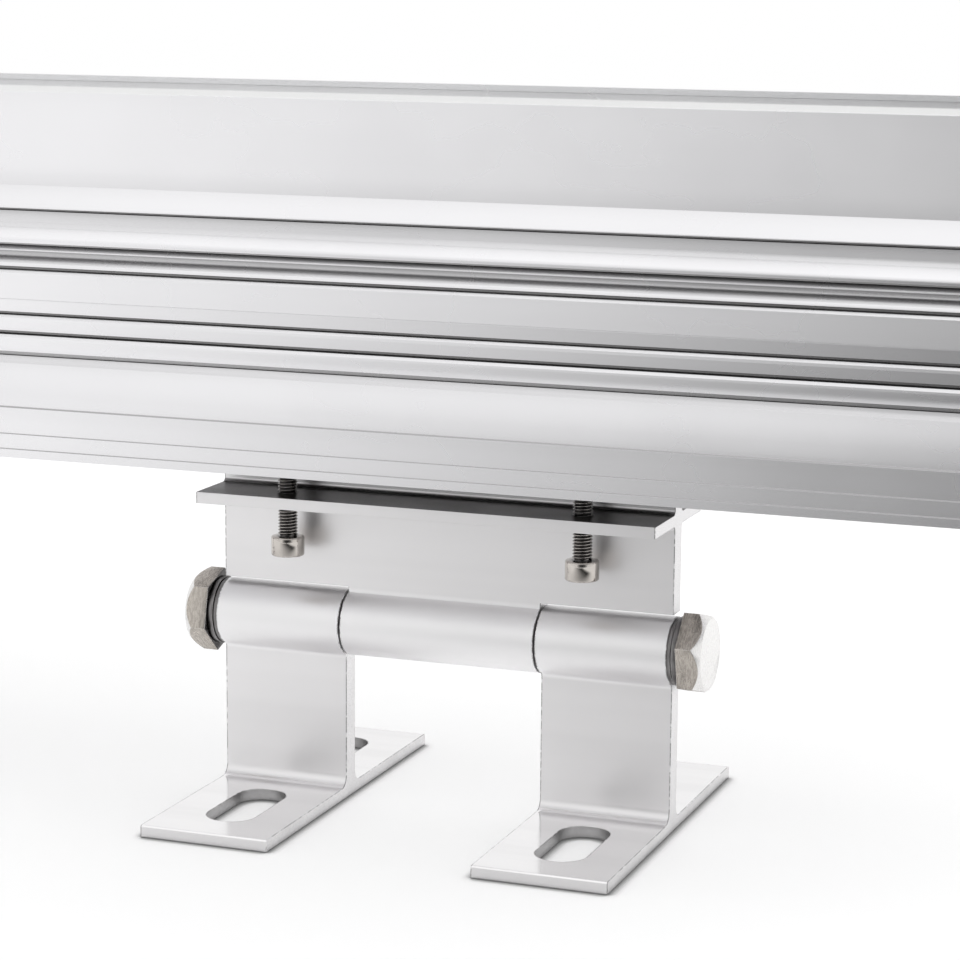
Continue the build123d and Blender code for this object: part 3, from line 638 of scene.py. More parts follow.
def turned_steel(
        slot, colour, roughness, grain, grain_depth, edge_radius, shade_reach, marks=1.0, end_tone=None):
    """Stainless steel with a fine irregular grain, edges painted paler as a painted highlight, and painted
    shade where other pieces close round it.
    """
    tree, shader = new_material(slot)
    edge = effect(tree, "Soft edge", Radius=edge_radius)
    mottle = effect(tree, "Soft mottle", Scale=180.0)
    # Painted shade where other pieces close round the steel.
    shade_mask = effect(tree, "Covered film", Reach=shade_reach, Open=0.95, Closed=0.60)
    fine = noise(tree, grain, detail=4.0, stretch=GRAIN_STRETCH)
    darker = scaled(colour, 1.0 - STEEL_SHADE * marks)
    tone = mix_colours(tree, ramp(tree, fine, *NOISE_SPAN), darker, colour)
    tone = mix_colours(tree, times(tree, mottle["Mask"], STEEL_MOTTLE_SHARE), tone, darker)
    if end_tone is not None:
        tone = mix_colours(tree, facing_mask(tree, "X", BOLT_END_SPAN), tone, end_tone)
    # Painted highlight: sharp edges are painted paler.
    tone = mix_colours(tree, edge["Mask"], tone, STEEL_EDGE_HIGHLIGHT)
    fill(tree, shader, {
        "Base Color": mix_colours(tree, shade_mask["Mask"], tone, SHADE_AND_BURR_TONE),
        "Roughness": varied(tree, fine, roughness, GRAIN_SPREAD),
        "Metallic": 1.0,
        "Normal": bump(tree, fine, GRAIN_STRENGTH, grain_depth, edge["Normal"]),
    })


def moulded(slot, colour, roughness):
    """Plastic, rubber or paint: a matte coat with a fine grain and edges painted paler as a painted
    highlight.
    """
    tree, shader = new_material(slot)
    edge = effect(tree, "Soft edge", Radius=0.3 * MM)
    mottle = effect(tree, "Soft mottle", Scale=60.0)
    fine = noise(tree, MOULD_NOISE, detail=2.0)
    # Painted highlight: sharp edges are painted paler.
    paler = tuple(min(1.0, PALER_GAIN * part + PALER_LIFT) for part in colour)
    tone = mix_colours(tree, mottle["Mask"], scaled(colour, MOULDED_SHADE), colour)
    fill(tree, shader, {
        "Base Color": mix_colours(tree, edge["Mask"], tone, paler),
        "Roughness": varied(tree, mottle["Mask"], roughness, GRAIN_SPREAD),
        "Normal": bump(tree, fine, MOULD_STRENGTH, MOULD_GRAIN_DEPTH, edge["Normal"]),
    })


def clear(slot, tint, roughness, ior):
    """Clear glass or plastic with faint smears, which lets light through to what lies under it."""
    tree, shader = new_material(slot)
    smear = noise(tree, SMEAR_NOISE, detail=3.0, stretch=SMEAR_STRETCH)
    fill(tree, shader, {
        "Base Color": mix_colours(tree, smear, tint, WHITE),
        "Roughness": varied(tree, smear, roughness, SMEAR_SPREAD * roughness),
        "Transmission Weight": 1.0,
        "IOR": ior,
    })
    path = tree.nodes.new("ShaderNodeLightPath").outputs
    lighting = math_node(tree, "MAXIMUM", path["Is Shadow Ray"], path["Is Diffuse Ray"])
    through = new_node(tree, "ShaderNodeBsdfTransparent", Color=tint)
    mixed = join_shaders(tree, "ShaderNodeMixShader", shader, through)
    feed(tree, lighting, mixed.inputs[0])


def circuit_board(slot, colour, roughness):
    """White solder mask over faint copper tracks."""
    tree, shader = new_material(slot)
    tracks = new_node(
        tree, "ShaderNodeTexBrick", {"offset": 0.5}, Vector=own_place(tree), Scale=60.0, Mortar_Size=0.03,
        Color1=WHITE, Color2=WHITE, Mortar=BLACK).outputs
    mottle = effect(tree, "Soft mottle", Scale=90.0)
    fill(tree, shader, {
        "Base Color": mix_colours(tree, tracks["Color"], scaled(colour, TRACK_SHADE), colour),
        "Roughness": varied(tree, mottle["Mask"], roughness, BOARD_SPREAD),
        "Normal": bump(tree, tracks["Fac"], TRACK_STRENGTH, TRACK_DEPTH),
    })


FINISHES = {
    "body_aluminium": (lamp_metal, "body_metal", {
        "roughness": 0.26, "line_depth": 0.01 * MM, "edge_radius": 0.08 * MM}),
    "bracket_aluminium": (bracket_metal, "bracket_metal", {
        "roughness": 0.38, "line_depth": 0.02 * MM, "edge_radius": 0.3 * MM}),
    "cover_glass": (clear, "glass_tint", {"roughness": 0.04, "ior": 1.5}),
    "lens_clear": (clear, "lens_tint", {"roughness": 0.03, "ior": 1.49}),
    "silicone": (moulded, "rubber", {"roughness": 0.6}),
    "black_rubber": (moulded, "rubber", {"roughness": 0.55}),
    "lead_sheath": (moulded, "rubber", {"roughness": 0.45}),
    "gland_nylon": (moulded, "nylon", {"roughness": 0.4}),
    "connector_white": (moulded, "connector", {"roughness": 0.45}),
    "driver_case": (moulded, "driver_case", {"roughness": 0.45}),
    "led_phosphor": (moulded, "phosphor", {"roughness": 0.35}),
    "board_white": (circuit_board, "mask_white", {"roughness": 0.35}),
    "small_screw_steel": (turned_steel, "screw_steel", {
        "roughness": 0.30, "grain": 1500.0, "grain_depth": 0.01 * MM, "edge_radius": 0.2 * MM,
        "shade_reach": 1.0 * MM}),
    "screw_stainless": (turned_steel, "screw_steel", {
        "roughness": 0.08, "grain": 1500.0, "grain_depth": 0.002 * MM, "edge_radius": 0.15 * MM,
        "shade_reach": 1.2 * MM, "marks": 0.2}),
    "bolt_stainless": (turned_steel, "bolt_steel", {
        "roughness": 0.27, "grain": 2600.0, "grain_depth": 0.04 * MM, "edge_radius": 0.3 * MM,
        "shade_reach": 12.0 * MM, "end_tone": (0.84, 0.83, 0.82)}),
    "washer_stainless": (turned_steel, "washer_steel", {
        "roughness": 0.30, "grain": 1200.0, "grain_depth": 0.02 * MM, "edge_radius": 0.3 * MM,
        "shade_reach": 8.0 * MM}),
}


def put_material(piece, slot):
    """Gives a piece the one material of a slot."""
    piece.data.materials.clear()
    piece.data.materials.append(bpy.data.materials[FINISH_NAMES[slot]])


class FLOODLIGHT_OT_materials(bpy.types.Operator):
    """Gives each carried-over piece its material"""

    bl_idname = "floodlight.materials"
    bl_label = "Materials"

    def execute(self, context):
        finish = context.scene.floodlight_finish
        drawn_lines_group()
        mottle_group()
        soft_edge_group()
        recess_group("Groove film", own_only=True)
        recess_group("Covered film", own_only=False)
        for slot, (make, colour, look) in FINISHES.items():
            make(slot, getattr(finish, colour), **look)
        for name, node in nodes.items():
            put_material(node, slot_of[name])
        return {"FINISHED"}


# Modelling helpers

def fresh_selection():
    """Leaves edit mode and deselects everything."""
    if bpy.context.object and bpy.context.object.mode != "OBJECT":
        bpy.ops.object.mode_set(mode="OBJECT")
    bpy.ops.object.select_all(action="DESELECT")


def activate(piece):
    """Selects one object alone and makes it active."""
    fresh_selection()
    piece.select_set(True)
    bpy.context.view_layer.objects.active = piece


@contextmanager
def editing(piece, mode=None):
    """Edit mode on one piece with all of it selected, then object mode again."""
    activate(piece)
    bpy.ops.object.mode_set(mode="EDIT")
    if mode:
        bpy.ops.mesh.select_mode(type=mode)
    bpy.ops.mesh.select_all(action="SELECT")
    yield
    bpy.ops.object.mode_set(mode="OBJECT")


@contextmanager
def editing_part(piece, mode, wanted):
    """Edit mode on one piece with only the wanted faces or edges selected, then object mode again."""
    activate(piece)
    bpy.ops.object.mode_set(mode="EDIT")
    bpy.ops.mesh.select_mode(type=mode)
    bpy.ops.mesh.select_all(action="DESELECT")
    bpy.ops.object.mode_set(mode="OBJECT")
    for part in piece.data.polygons if mode == "FACE" else piece.data.edges:
        part.select = wanted(part)
    bpy.ops.object.mode_set(mode="EDIT")
    yield
    bpy.ops.object.mode_set(mode="OBJECT")


def settle(name):
    """Names the primitive just added and puts its place into its mesh."""
    piece = bpy.context.object
    piece.name = name
    bpy.ops.object.transform_apply(location=True, rotation=True, scale=True)
    return piece


def new_cylinder(name, radius, low, high, sides=48):
    """An upright cylinder primitive between two heights."""
    fresh_selection()
    bpy.ops.mesh.primitive_cylinder_add(
        vertices=sides, radius=radius, depth=high - low, location=(0, 0, (low + high) / 2))
    return settle(name)


def new_cube(name, size, height):
    """A cube primitive with its middle at a height."""
    fresh_selection()
    bpy.ops.mesh.primitive_cube_add(size=size, location=(0, 0, height))
    return settle(name)


def corner_radius(flats):
    """A hexagon's radius over its corners, from its width across the flats."""
    return flats / math.sqrt(3)


def apply_modifier(piece, kind, **settings):
    """Adds a modifier and applies it at once."""
    activate(piece)
    modifier = piece.modifiers.new(kind.lower(), kind)
    for name, value in settings.items():
        setattr(modifier, name, value)
    bpy.ops.object.modifier_apply(modifier=modifier.name)


def round_edges(piece, width, segments, degrees):
    """Bevels the edges that are sharper than an angle."""
    apply_modifier(
        piece, "BEVEL", width=width, segments=segments, limit_method="ANGLE",
        angle_limit=math.radians(degrees))


def carve(piece, tool, operation="DIFFERENCE"):
    """Cuts one piece with another, which is then gone."""
    apply_modifier(piece, "BOOLEAN", object=tool, operation=operation, solver="EXACT")
    bpy.data.objects.remove(tool)


def merge(pieces, name):
    """Several objects joined into one."""
    fresh_selection()
    for piece in pieces:
        piece.select_set(True)
    bpy.context.view_layer.objects.active = pieces[0]
    bpy.ops.object.join()
    pieces[0].name = name
    return pieces[0]


def tidy_normals(piece):
    """Merges doubles and turns all faces outwards."""
    with editing(piece):
        bpy.ops.mesh.remove_doubles(threshold=MERGE_DISTANCE)
        bpy.ops.mesh.normals_make_consistent(inside=False)
    return piece


def smooth(piece, degrees=35.0):
    """Smooth shading below an angle."""
    activate(piece)
    bpy.ops.object.shade_smooth_by_angle(angle=math.radians(degrees))
    return piece


def copy_to(piece, name, place):
    """A copy with its own mesh, put at a place."""
    copy = piece.copy()
    copy.data = piece.data.copy()
    copy.name = name
    bpy.context.scene.collection.objects.link(copy)
    copy.data.transform(place)
    return copy


def copies_at(piece, places, name):
    """Copies of a piece at several places, joined into one object."""
    return merge([copy_to(piece, f"{piece.name}_{i}", place) for i, place in enumerate(places)], name)


def dress(piece, slot, node):
    """Gives a finished piece the material of a slot, and the body of the node it stands for."""
    put_material(piece, slot)
    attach(piece, nodes[node]["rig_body"])
    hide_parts(node)


def drawn_outline(name, points):
    """A chain of edges through (radius, height) points over the X axis."""
    fresh_selection()
    bpy.ops.mesh.primitive_plane_add(size=1.0)
    piece = settle(name)
    radius, height = points[0]
    with editing(piece, "VERT"):
        bpy.ops.mesh.merge(type="CENTER")
        bpy.ops.transform.translate(value=(radius, 0, height))
        for before, after in zip(points, points[1:]):
            step = (after[0] - before[0], 0, after[1] - before[1])
            bpy.ops.mesh.extrude_region_move(TRANSFORM_OT_translate={"value": step})
    return piece


def turn_round(piece, steps, **settings):
    """Turns an outline round Z with a screw modifier."""
    apply_modifier(
        piece, "SCREW", axis="Z", steps=steps, render_steps=steps, use_merge_vertices=True,
        merge_threshold=MERGE_DISTANCE, **settings)


def spun_profile(name, points, steps=48, angle=math.tau, rise=0.0):
    """An outline of (radius, height) points, turned round Z."""
    piece = drawn_outline(name, points)
    turn_round(piece, steps, angle=angle, screw_offset=rise)
    return tidy_normals(piece)


def dome_outline(radius, foot, top, steps):
    """A quarter arch of (radius, height) points, from its rim up to the axis."""
    turns = [math.radians(90 / steps * i) for i in range(steps)]
    arch = [(radius * math.cos(turn), foot + (top - foot) * math.sin(turn)) for turn in turns]
    return [*arch, (0, top)]


def helix_thread(name, outer, core, pitch, low, high, steps=28):
    """A threaded bar: one tooth of the profile, turned up round Z."""
    flank = THREAD_FLANK_SHARE * pitch
    piece = drawn_outline(name, [
        (core, low), (outer, low + flank), (outer, low + pitch - flank), (core, low + pitch)])
    turns = math.floor((high - low) / pitch) - 1
    turn_round(piece, steps, screw_offset=pitch, iterations=turns)
    with editing(piece):
        bpy.ops.mesh.remove_doubles(threshold=MERGE_DISTANCE)
        bpy.ops.mesh.select_all(action="SELECT")
        bpy.ops.mesh.fill_holes(sides=0)
    return tidy_normals(piece)


def cone_topped_rod(name, radius, top_radius, height, drop):
    """A round bar that starts at height zero and narrows in a cone at its upper end."""
    fresh_selection()
    bpy.ops.mesh.primitive_cone_add(
        vertices=96, radius1=radius, radius2=top_radius, depth=drop, location=(0, 0, height - drop / 2))
    piece = settle(name)
    with editing_part(piece, "FACE", lambda face: face.normal.z < -FACING):
        bpy.ops.mesh.extrude_region_move(TRANSFORM_OT_translate={"value": (0, 0, drop - height)})
    return piece


# Places along X

def outward_sign(hinge_end):
    """Which way a hinge end, such as left_outer, points: 1 along X, -1 against it."""
    foot_low, foot_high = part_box(f"foot_{hinge_end}")
    low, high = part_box(f"clamp_bracket_{hinge_end.split('_')[0]}")
    return 1 if foot_low.x + foot_high.x > low.x + high.x else -1


def ends_of(node, way):
    """Where a node starts and ends along X, going one way or the other."""
    low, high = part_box(node)
    return (low.x, high.x) if way > 0 else (high.x, low.x)


def along_axis(way, seat, height, roll=0.0):
    """Lays an upright piece along X with its foot at a seat, pointing one way or the other."""
    point_out = Matrix.Rotation(math.radians(90 * way), 4, "Y")
    turn = Matrix.Rotation(roll, 4, "X")
    return Matrix.Translation((seat, 0, height)) @ turn @ point_out


class FLOODLIGHT_OT_clamp_screws(bpy.types.Operator):
    """Models the socket head screws that clamp the brackets to the lamp"""

    bl_idname = "floodlight.clamp_screws"
    bl_label = "Clamp screws"

    def execute(self, context):
        sizes = context.scene.floodlight_fasteners
        low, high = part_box("clamp_screws_right")
        head_top = low.z + sizes.clamp_head_height
        head_radius = sizes.clamp_head / 2
        radius = sizes.clamp_thread / 2
        head = new_cylinder("screw_head", head_radius, low.z, head_top, sides=64)
        carve(head, new_cylinder(
            "screw_key", corner_radius(sizes.clamp_key), low.z - CUTTER_REACH, low.z + sizes.clamp_socket,
            sides=6))
        round_edges(head, width=0.45 * MM, segments=3, degrees=50)
        thread = helix_thread(
            "screw_thread", radius, radius - CLAMP_THREAD_DEPTH, sizes.clamp_pitch, head_top - OVERLAP,
            high.z)
        core = new_cylinder(
            "screw_core", radius - CLAMP_CORE_DEPTH, head_top - 2 * OVERLAP, high.z, sides=32)
        screw = smooth(merge([head, thread, core], "screw"), degrees=40.0)
        for side in SIDES:
            node = f"clamp_screws_{side}"
            low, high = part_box(node)
            spots = [
                Matrix.Translation((x, y, 0))
                for x in (low.x + head_radius, high.x - head_radius)
                for y in (low.y + head_radius, high.y - head_radius)]
            dress(copies_at(screw, spots, f"threaded_{node}"), "screw_stainless", node)
        bpy.data.objects.remove(screw)
        return {"FINISHED"}


class FLOODLIGHT_OT_pivot_bolts(bpy.types.Operator):
    """Models the hexagon bolts that pin the feet to the brackets"""

    bl_idname = "floodlight.pivot_bolts"
    bl_label = "Pivot bolts"

    def execute(self, context):
        sizes = context.scene.floodlight_fasteners
        low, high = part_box("pivot_bolt_right_outer")
        bolt = self.bolt(sizes, high.x - low.x - sizes.bolt_head)
        for hinge_end in HINGE_ENDS:
            node = f"pivot_bolt_{hinge_end}"
            way = outward_sign(hinge_end)
            seat = ends_of(node, way)[1] - way * sizes.bolt_head
            place = along_axis(way, seat, HINGE_HEIGHT, BOLT_TURNS[way])
            dress(copy_to(bolt, f"hex_{node}", place), "bolt_stainless", node)
        bpy.data.objects.remove(bolt)
        return {"FINISHED"}

    def bolt(self, sizes, shank_length):
        """An upright bolt whose head is seated at height zero."""
        radius = sizes.bolt_shank / 2
        corner = corner_radius(sizes.bolt_flats)
        face_radius = FACE_SHARE * sizes.bolt_flats / 2
        drop = (corner - face_radius) * math.tan(HEAD_CHAMFER)
        head = new_cylinder("bolt_head", corner, 0, sizes.bolt_head, sides=6)
        carve(head, cone_topped_rod("bolt_cone", corner, face_radius, sizes.bolt_head, drop), "INTERSECT")
        round_edges(head, width=0.16 * MM, segments=2, degrees=25)
        thread_top = -PLAIN_SHANK_SHARE * shank_length
        plain = new_cylinder("bolt_shank", radius, thread_top, OVERLAP)
        core = new_cylinder("bolt_core", radius - BOLT_CORE_DEPTH, -shank_length, thread_top + OVERLAP)
        thread = helix_thread(
            "bolt_thread", radius, radius - BOLT_THREAD_DEPTH, BOLT_PITCH, -shank_length, thread_top,
            steps=36)
        return smooth(merge([head, plain, core, thread], "bolt"), degrees=30.0)


class FLOODLIGHT_OT_spring_washers(bpy.types.Operator):
    """Models the split spring washers under the bolt heads"""

    bl_idname = "floodlight.spring_washers"
    bl_label = "Spring washers"

    def execute(self, context):
        ring = self.ring(context.scene.floodlight_fasteners)
        for hinge_end in HINGE_ENDS:
            node = f"spring_washer_{hinge_end}"
            way = outward_sign(hinge_end)
            place = along_axis(way, ends_of(node, way)[0], HINGE_HEIGHT, SPLIT_TURNS[way])
            dress(copy_to(ring, f"split_washer_{hinge_end}", place), "washer_stainless", node)
        bpy.data.objects.remove(ring)
        return {"FINISHED"}

    def ring(self, sizes):
        """One turn of square wire with a gap, its two cut ends closed."""
        low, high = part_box("spring_washer_right_outer")
        thickness = high.x - low.x
        outer = (high.z - low.z) / 2
        inner = sizes.washer_bore / 2
        wire = thickness * WIRE_SHARE
        outline = [(inner, 0), (outer, 0), (outer, wire), (inner, wire), (inner, 0)]
        ring = spun_profile(
            "spring_ring", outline, steps=72, angle=math.tau - sizes.washer_split, rise=thickness - wire)
        with editing(ring, "EDGE"):
            bpy.ops.mesh.select_all(action="DESELECT")
            bpy.ops.mesh.select_non_manifold()
            bpy.ops.mesh.edge_face_add()
        tidy_normals(ring)
        round_edges(ring, width=0.15 * MM, segments=2, degrees=40)
        return smooth(ring, degrees=40.0)


class FLOODLIGHT_OT_cap_screws(bpy.types.Operator):
    """Models the button head screws that hold the end caps"""

    bl_idname = "floodlight.cap_screws"
    bl_label = "End cap screws"

    def execute(self, context):
        sizes = context.scene.floodlight_fasteners
        radius = sizes.cap_head / 2
        screw = self.screw(sizes, radius)
        for side, way in SIDES.items():
            node = f"cap_screws_{side}"
            seat = ends_of(f"end_cap_{side}", way)[1]
            places = [
                Matrix.Translation((0, y, 0)) @ along_axis(way, seat, z, CAP_KEY_TURN)
                for y, z in self.head_centres(node, way, radius)]
            dress(copies_at(screw, places, f"socket_{node}"), "small_screw_steel", node)
        bpy.data.objects.remove(screw)
        return {"FINISHED"}

    def screw(self, sizes, radius):
        """An upright screw whose head is seated at height zero."""
        cap_face = ends_of("end_cap_right", 1)[1]
        screw_end, head_top = ends_of("cap_screws_right", 1)
        head_height = head_top - cap_face
        shank_end = screw_end - cap_face
        dome = dome_outline(radius, SCREW_RIM_SHARE * head_height, head_height, steps=6)
        head = spun_profile("cap_head", [(0, 0), (radius, 0), *dome])
        carve(head, new_cylinder(
            "cap_key", corner_radius(sizes.cap_key), head_height - sizes.cap_socket,
            head_height + CUTTER_REACH, sides=6))
        thread = helix_thread("cap_thread", low=shank_end, high=CAP_SHANK_TOP, steps=16, **CAP_THREAD)
        core = new_cylinder("cap_core", CAP_CORE_RADIUS, shank_end, CAP_SHANK_TOP, sides=16)
        return smooth(merge([head, thread, core], "cap_screw"))

    def head_centres(self, node, way, radius):
        """The centres of a node's screw heads, found from the points at its outer end."""
        points = [vertex.co for vertex in nodes[node].data.vertices]
        end = max(way * point.x for point in points)
        groups = []
        for point in points:
            if way * point.x <= end - END_DEPTH:
                continue
            spot = (point.y, point.z)
            near = [group for group in groups if math.dist(group[0], spot) < 2 * radius]
            if near:
                near[0].append(spot)
            else:
                groups.append([spot])
        return [tuple((min(row) + max(row)) / 2 for row in zip(*group)) for group in groups]


class FLOODLIGHT_OT_dome_nuts(bpy.types.Operator):
    """Models the ribbed dome nuts of the cable glands"""

    bl_idname = "floodlight.dome_nuts"
    bl_label = "Gland dome nuts"

    def execute(self, context):
        low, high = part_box("gland_dome_nut_right")
        axis_height = (high.z + low.z) / 2
        nut = self.nut(high.x - low.x, (high.z - low.z) / 2)
        for side, way in SIDES.items():
            node = f"gland_dome_nut_{side}"
            place = along_axis(way, ends_of(node, way)[0], axis_height)
            dress(copy_to(nut, f"ribbed_dome_nut_{side}", place), "gland_nylon", node)
        bpy.data.objects.remove(nut)
        return {"FINISHED"}

    def nut(self, length, radius):
        """An upright nut: ribs round the middle, a rounded top, a room for the neck and a mouth."""
        nut = new_cylinder("dome_nut", radius - RIB_HEIGHT, 0, length, sides=DOME_SIDES)
        for share in RIB_CUTS:
            with editing(nut):
                bpy.ops.mesh.bisect(plane_co=(0, 0, share * length), plane_no=(0, 0, 1))
        with editing_part(nut, "FACE", lambda face: self.is_rib(face, length)):
            bpy.ops.mesh.extrude_region_shrink_fatten(TRANSFORM_OT_shrink_fatten={"value": RIB_HEIGHT})
        points = nut.data.vertices
        top = length - TOP_DEPTH
        with editing_part(nut, "EDGE", lambda edge: min(points[i].co.z for i in edge.vertices) > top):
            bpy.ops.mesh.bevel(offset=2.4 * MM, segments=6, affect="EDGES")
        carve(nut, new_cylinder("neck_room", NECK_RADIUS, -CUTTER_REACH, length - DOME_WALL))
        carve(nut, new_cylinder("mouth", MOUTH_RADIUS, -CUTTER_REACH, length + CUTTER_REACH))
        round_edges(nut, width=0.15 * MM, segments=2, degrees=50)
        return smooth(nut)

    def is_rib(self, face, length):
        """Three of each four faces in the middle band stand out as a rib."""
        start, end = (share * length for share in RIB_BAND)
        if abs(face.normal.z) > SIDEWAYS or not start < face.center.z < end:
            return False
        turn = math.atan2(face.center.y, face.center.x) / math.tau * DOME_SIDES
        return math.floor(turn) % FACES_PER_RIB != 0


class FLOODLIGHT_OT_optics(bpy.types.Operator):
    """Models the lenses and the LED chips under them"""

    bl_idname = "floodlight.optics"
    bl_label = "Lenses and chips"

    def execute(self, context):
        low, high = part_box("lenses_right")
        radius = (high.y - low.y - LED_ROW_SPACING) / 2
        lens = smooth(spun_profile("lens", self.lens_outline(high.z - low.z, radius)), degrees=40.0)
        chip = self.chip()
        for side in SIDES:
            places = self.places(f"led_chips_{side}")
            lenses = copies_at(lens, places, f"collimator_lenses_{side}")
            dress(lenses, "lens_clear", f"lenses_{side}")
            chips = copies_at(chip, places, f"domed_chips_{side}")
            dress(chips, "led_phosphor", f"led_chips_{side}")
        bpy.data.objects.remove(lens)
        bpy.data.objects.remove(chip)
        return {"FINISHED"}

    def lens_outline(self, height, radius):
        """A collimator's outline: pocket, foot, curved flank, rim and shallow crown."""
        bow = radius - RIM_STEP - LENS_FOOT
        turns = [math.radians(15 * i) for i in range(1, 7)]
        flank = [
            (LENS_FOOT + bow * math.sin(turn) ** FLANK_BOW, (height - LENS_RIM) * (1 - math.cos(turn)))
            for turn in turns]
        return [
            (0, POCKET_DEPTH),
            *[(across * POCKET_RADIUS, up * POCKET_DEPTH) for across, up in POCKET_SHARES],
            (POCKET_RADIUS, 0),
            (LENS_FOOT, 0),
            *flank,
            (radius, height - LENS_RIM),
            (radius, height - LENS_BEVEL),
            (radius - LENS_BEVEL, height),
            (radius - CROWN_INSET, height),
            (radius - CROWN_INSET - CROWN_SLOPE, height - CROWN_DEPTH),
            (0, height - CROWN_DEPTH),
        ]

    def chip(self):
        """A square package with a low dome on it."""
        package = new_cube("package", CHIP_SIZE, CHIP_SIZE / 2)
        with editing(package):
            bpy.ops.transform.resize(value=(1, 1, CHIP_FLATNESS), center_override=(0, 0, 0))
        with editing_part(package, "FACE", lambda face: face.normal.z > FACING):
            bpy.ops.mesh.inset(thickness=0.3 * MM)
            bpy.ops.mesh.extrude_region_move(TRANSFORM_OT_translate={"value": (0, 0, -0.1 * MM)})
        outline = [(0, CHIP_DOME["foot"]), *dome_outline(**CHIP_DOME, steps=6)]
        return smooth(merge([package, spun_profile("dome", outline, steps=24)], "chip"))

    def places(self, node):
        """Where each LED of one board stands."""
        low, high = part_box(node)
        half = CHIP_SIZE / 2
        step = (high.x - low.x - CHIP_SIZE) / (LEDS_PER_ROW - 1)
        return [
            Matrix.Translation((low.x + half + step * i, y, low.z))
            for y in (low.y + half, high.y - half)
            for i in range(LEDS_PER_ROW)]


class FLOODLIGHT_OT_board_screws(bpy.types.Operator):
    """Models the cross recess screws that hold the LED boards"""

    bl_idname = "floodlight.board_screws"
    bl_label = "Board screws"

    def execute(self, context):
        board_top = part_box("led_board_right")[1].z
        screw = self.screw(board_top)
        radius = BOARD_SCREW_RADIUS
        for side in SIDES:
            node = f"board_screws_{side}"
            low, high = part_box(node)
            step = (high.x - low.x - 2 * radius) / (BOARD_SCREW_COLUMNS - 1)
            spots = [
                Matrix.Translation((low.x + radius + step * i, y, board_top))
                for i in range(BOARD_SCREW_COLUMNS)
                for y in (low.y + radius, high.y - radius)]
            dress(copies_at(screw, spots, f"cross_{node}"), "small_screw_steel", node)
        bpy.data.objects.remove(screw)
        return {"FINISHED"}

    def screw(self, board_top):
        """An upright screw whose head is seated at height zero."""
        low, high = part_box("board_screws_right")
        head_height = high.z - board_top
        dome = dome_outline(BOARD_SCREW_RADIUS, SCREW_RIM_SHARE * head_height, head_height, steps=5)
        head = spun_profile("board_head", [(0, 0), (BOARD_SCREW_RADIUS, 0), *dome], steps=32)
        for angle in (0, 90):
            blade = new_cube("blade", 1.0, head_height)
            with editing(blade):
                bpy.ops.transform.resize(value=CROSS_BLADE, center_override=(0, 0, head_height))
                bpy.ops.transform.rotate(
                    value=math.radians(angle), orient_axis="Z", center_override=(0, 0, 0))
            carve(head, blade)
        shank = new_cylinder(
            "board_shank", BOARD_SHANK_RADIUS, low.z - board_top, BOARD_SHANK_TOP, sides=16)
        round_edges(shank, width=0.3 * MM, segments=1, degrees=30)
        return smooth(merge([head, shank], "board_screw"))


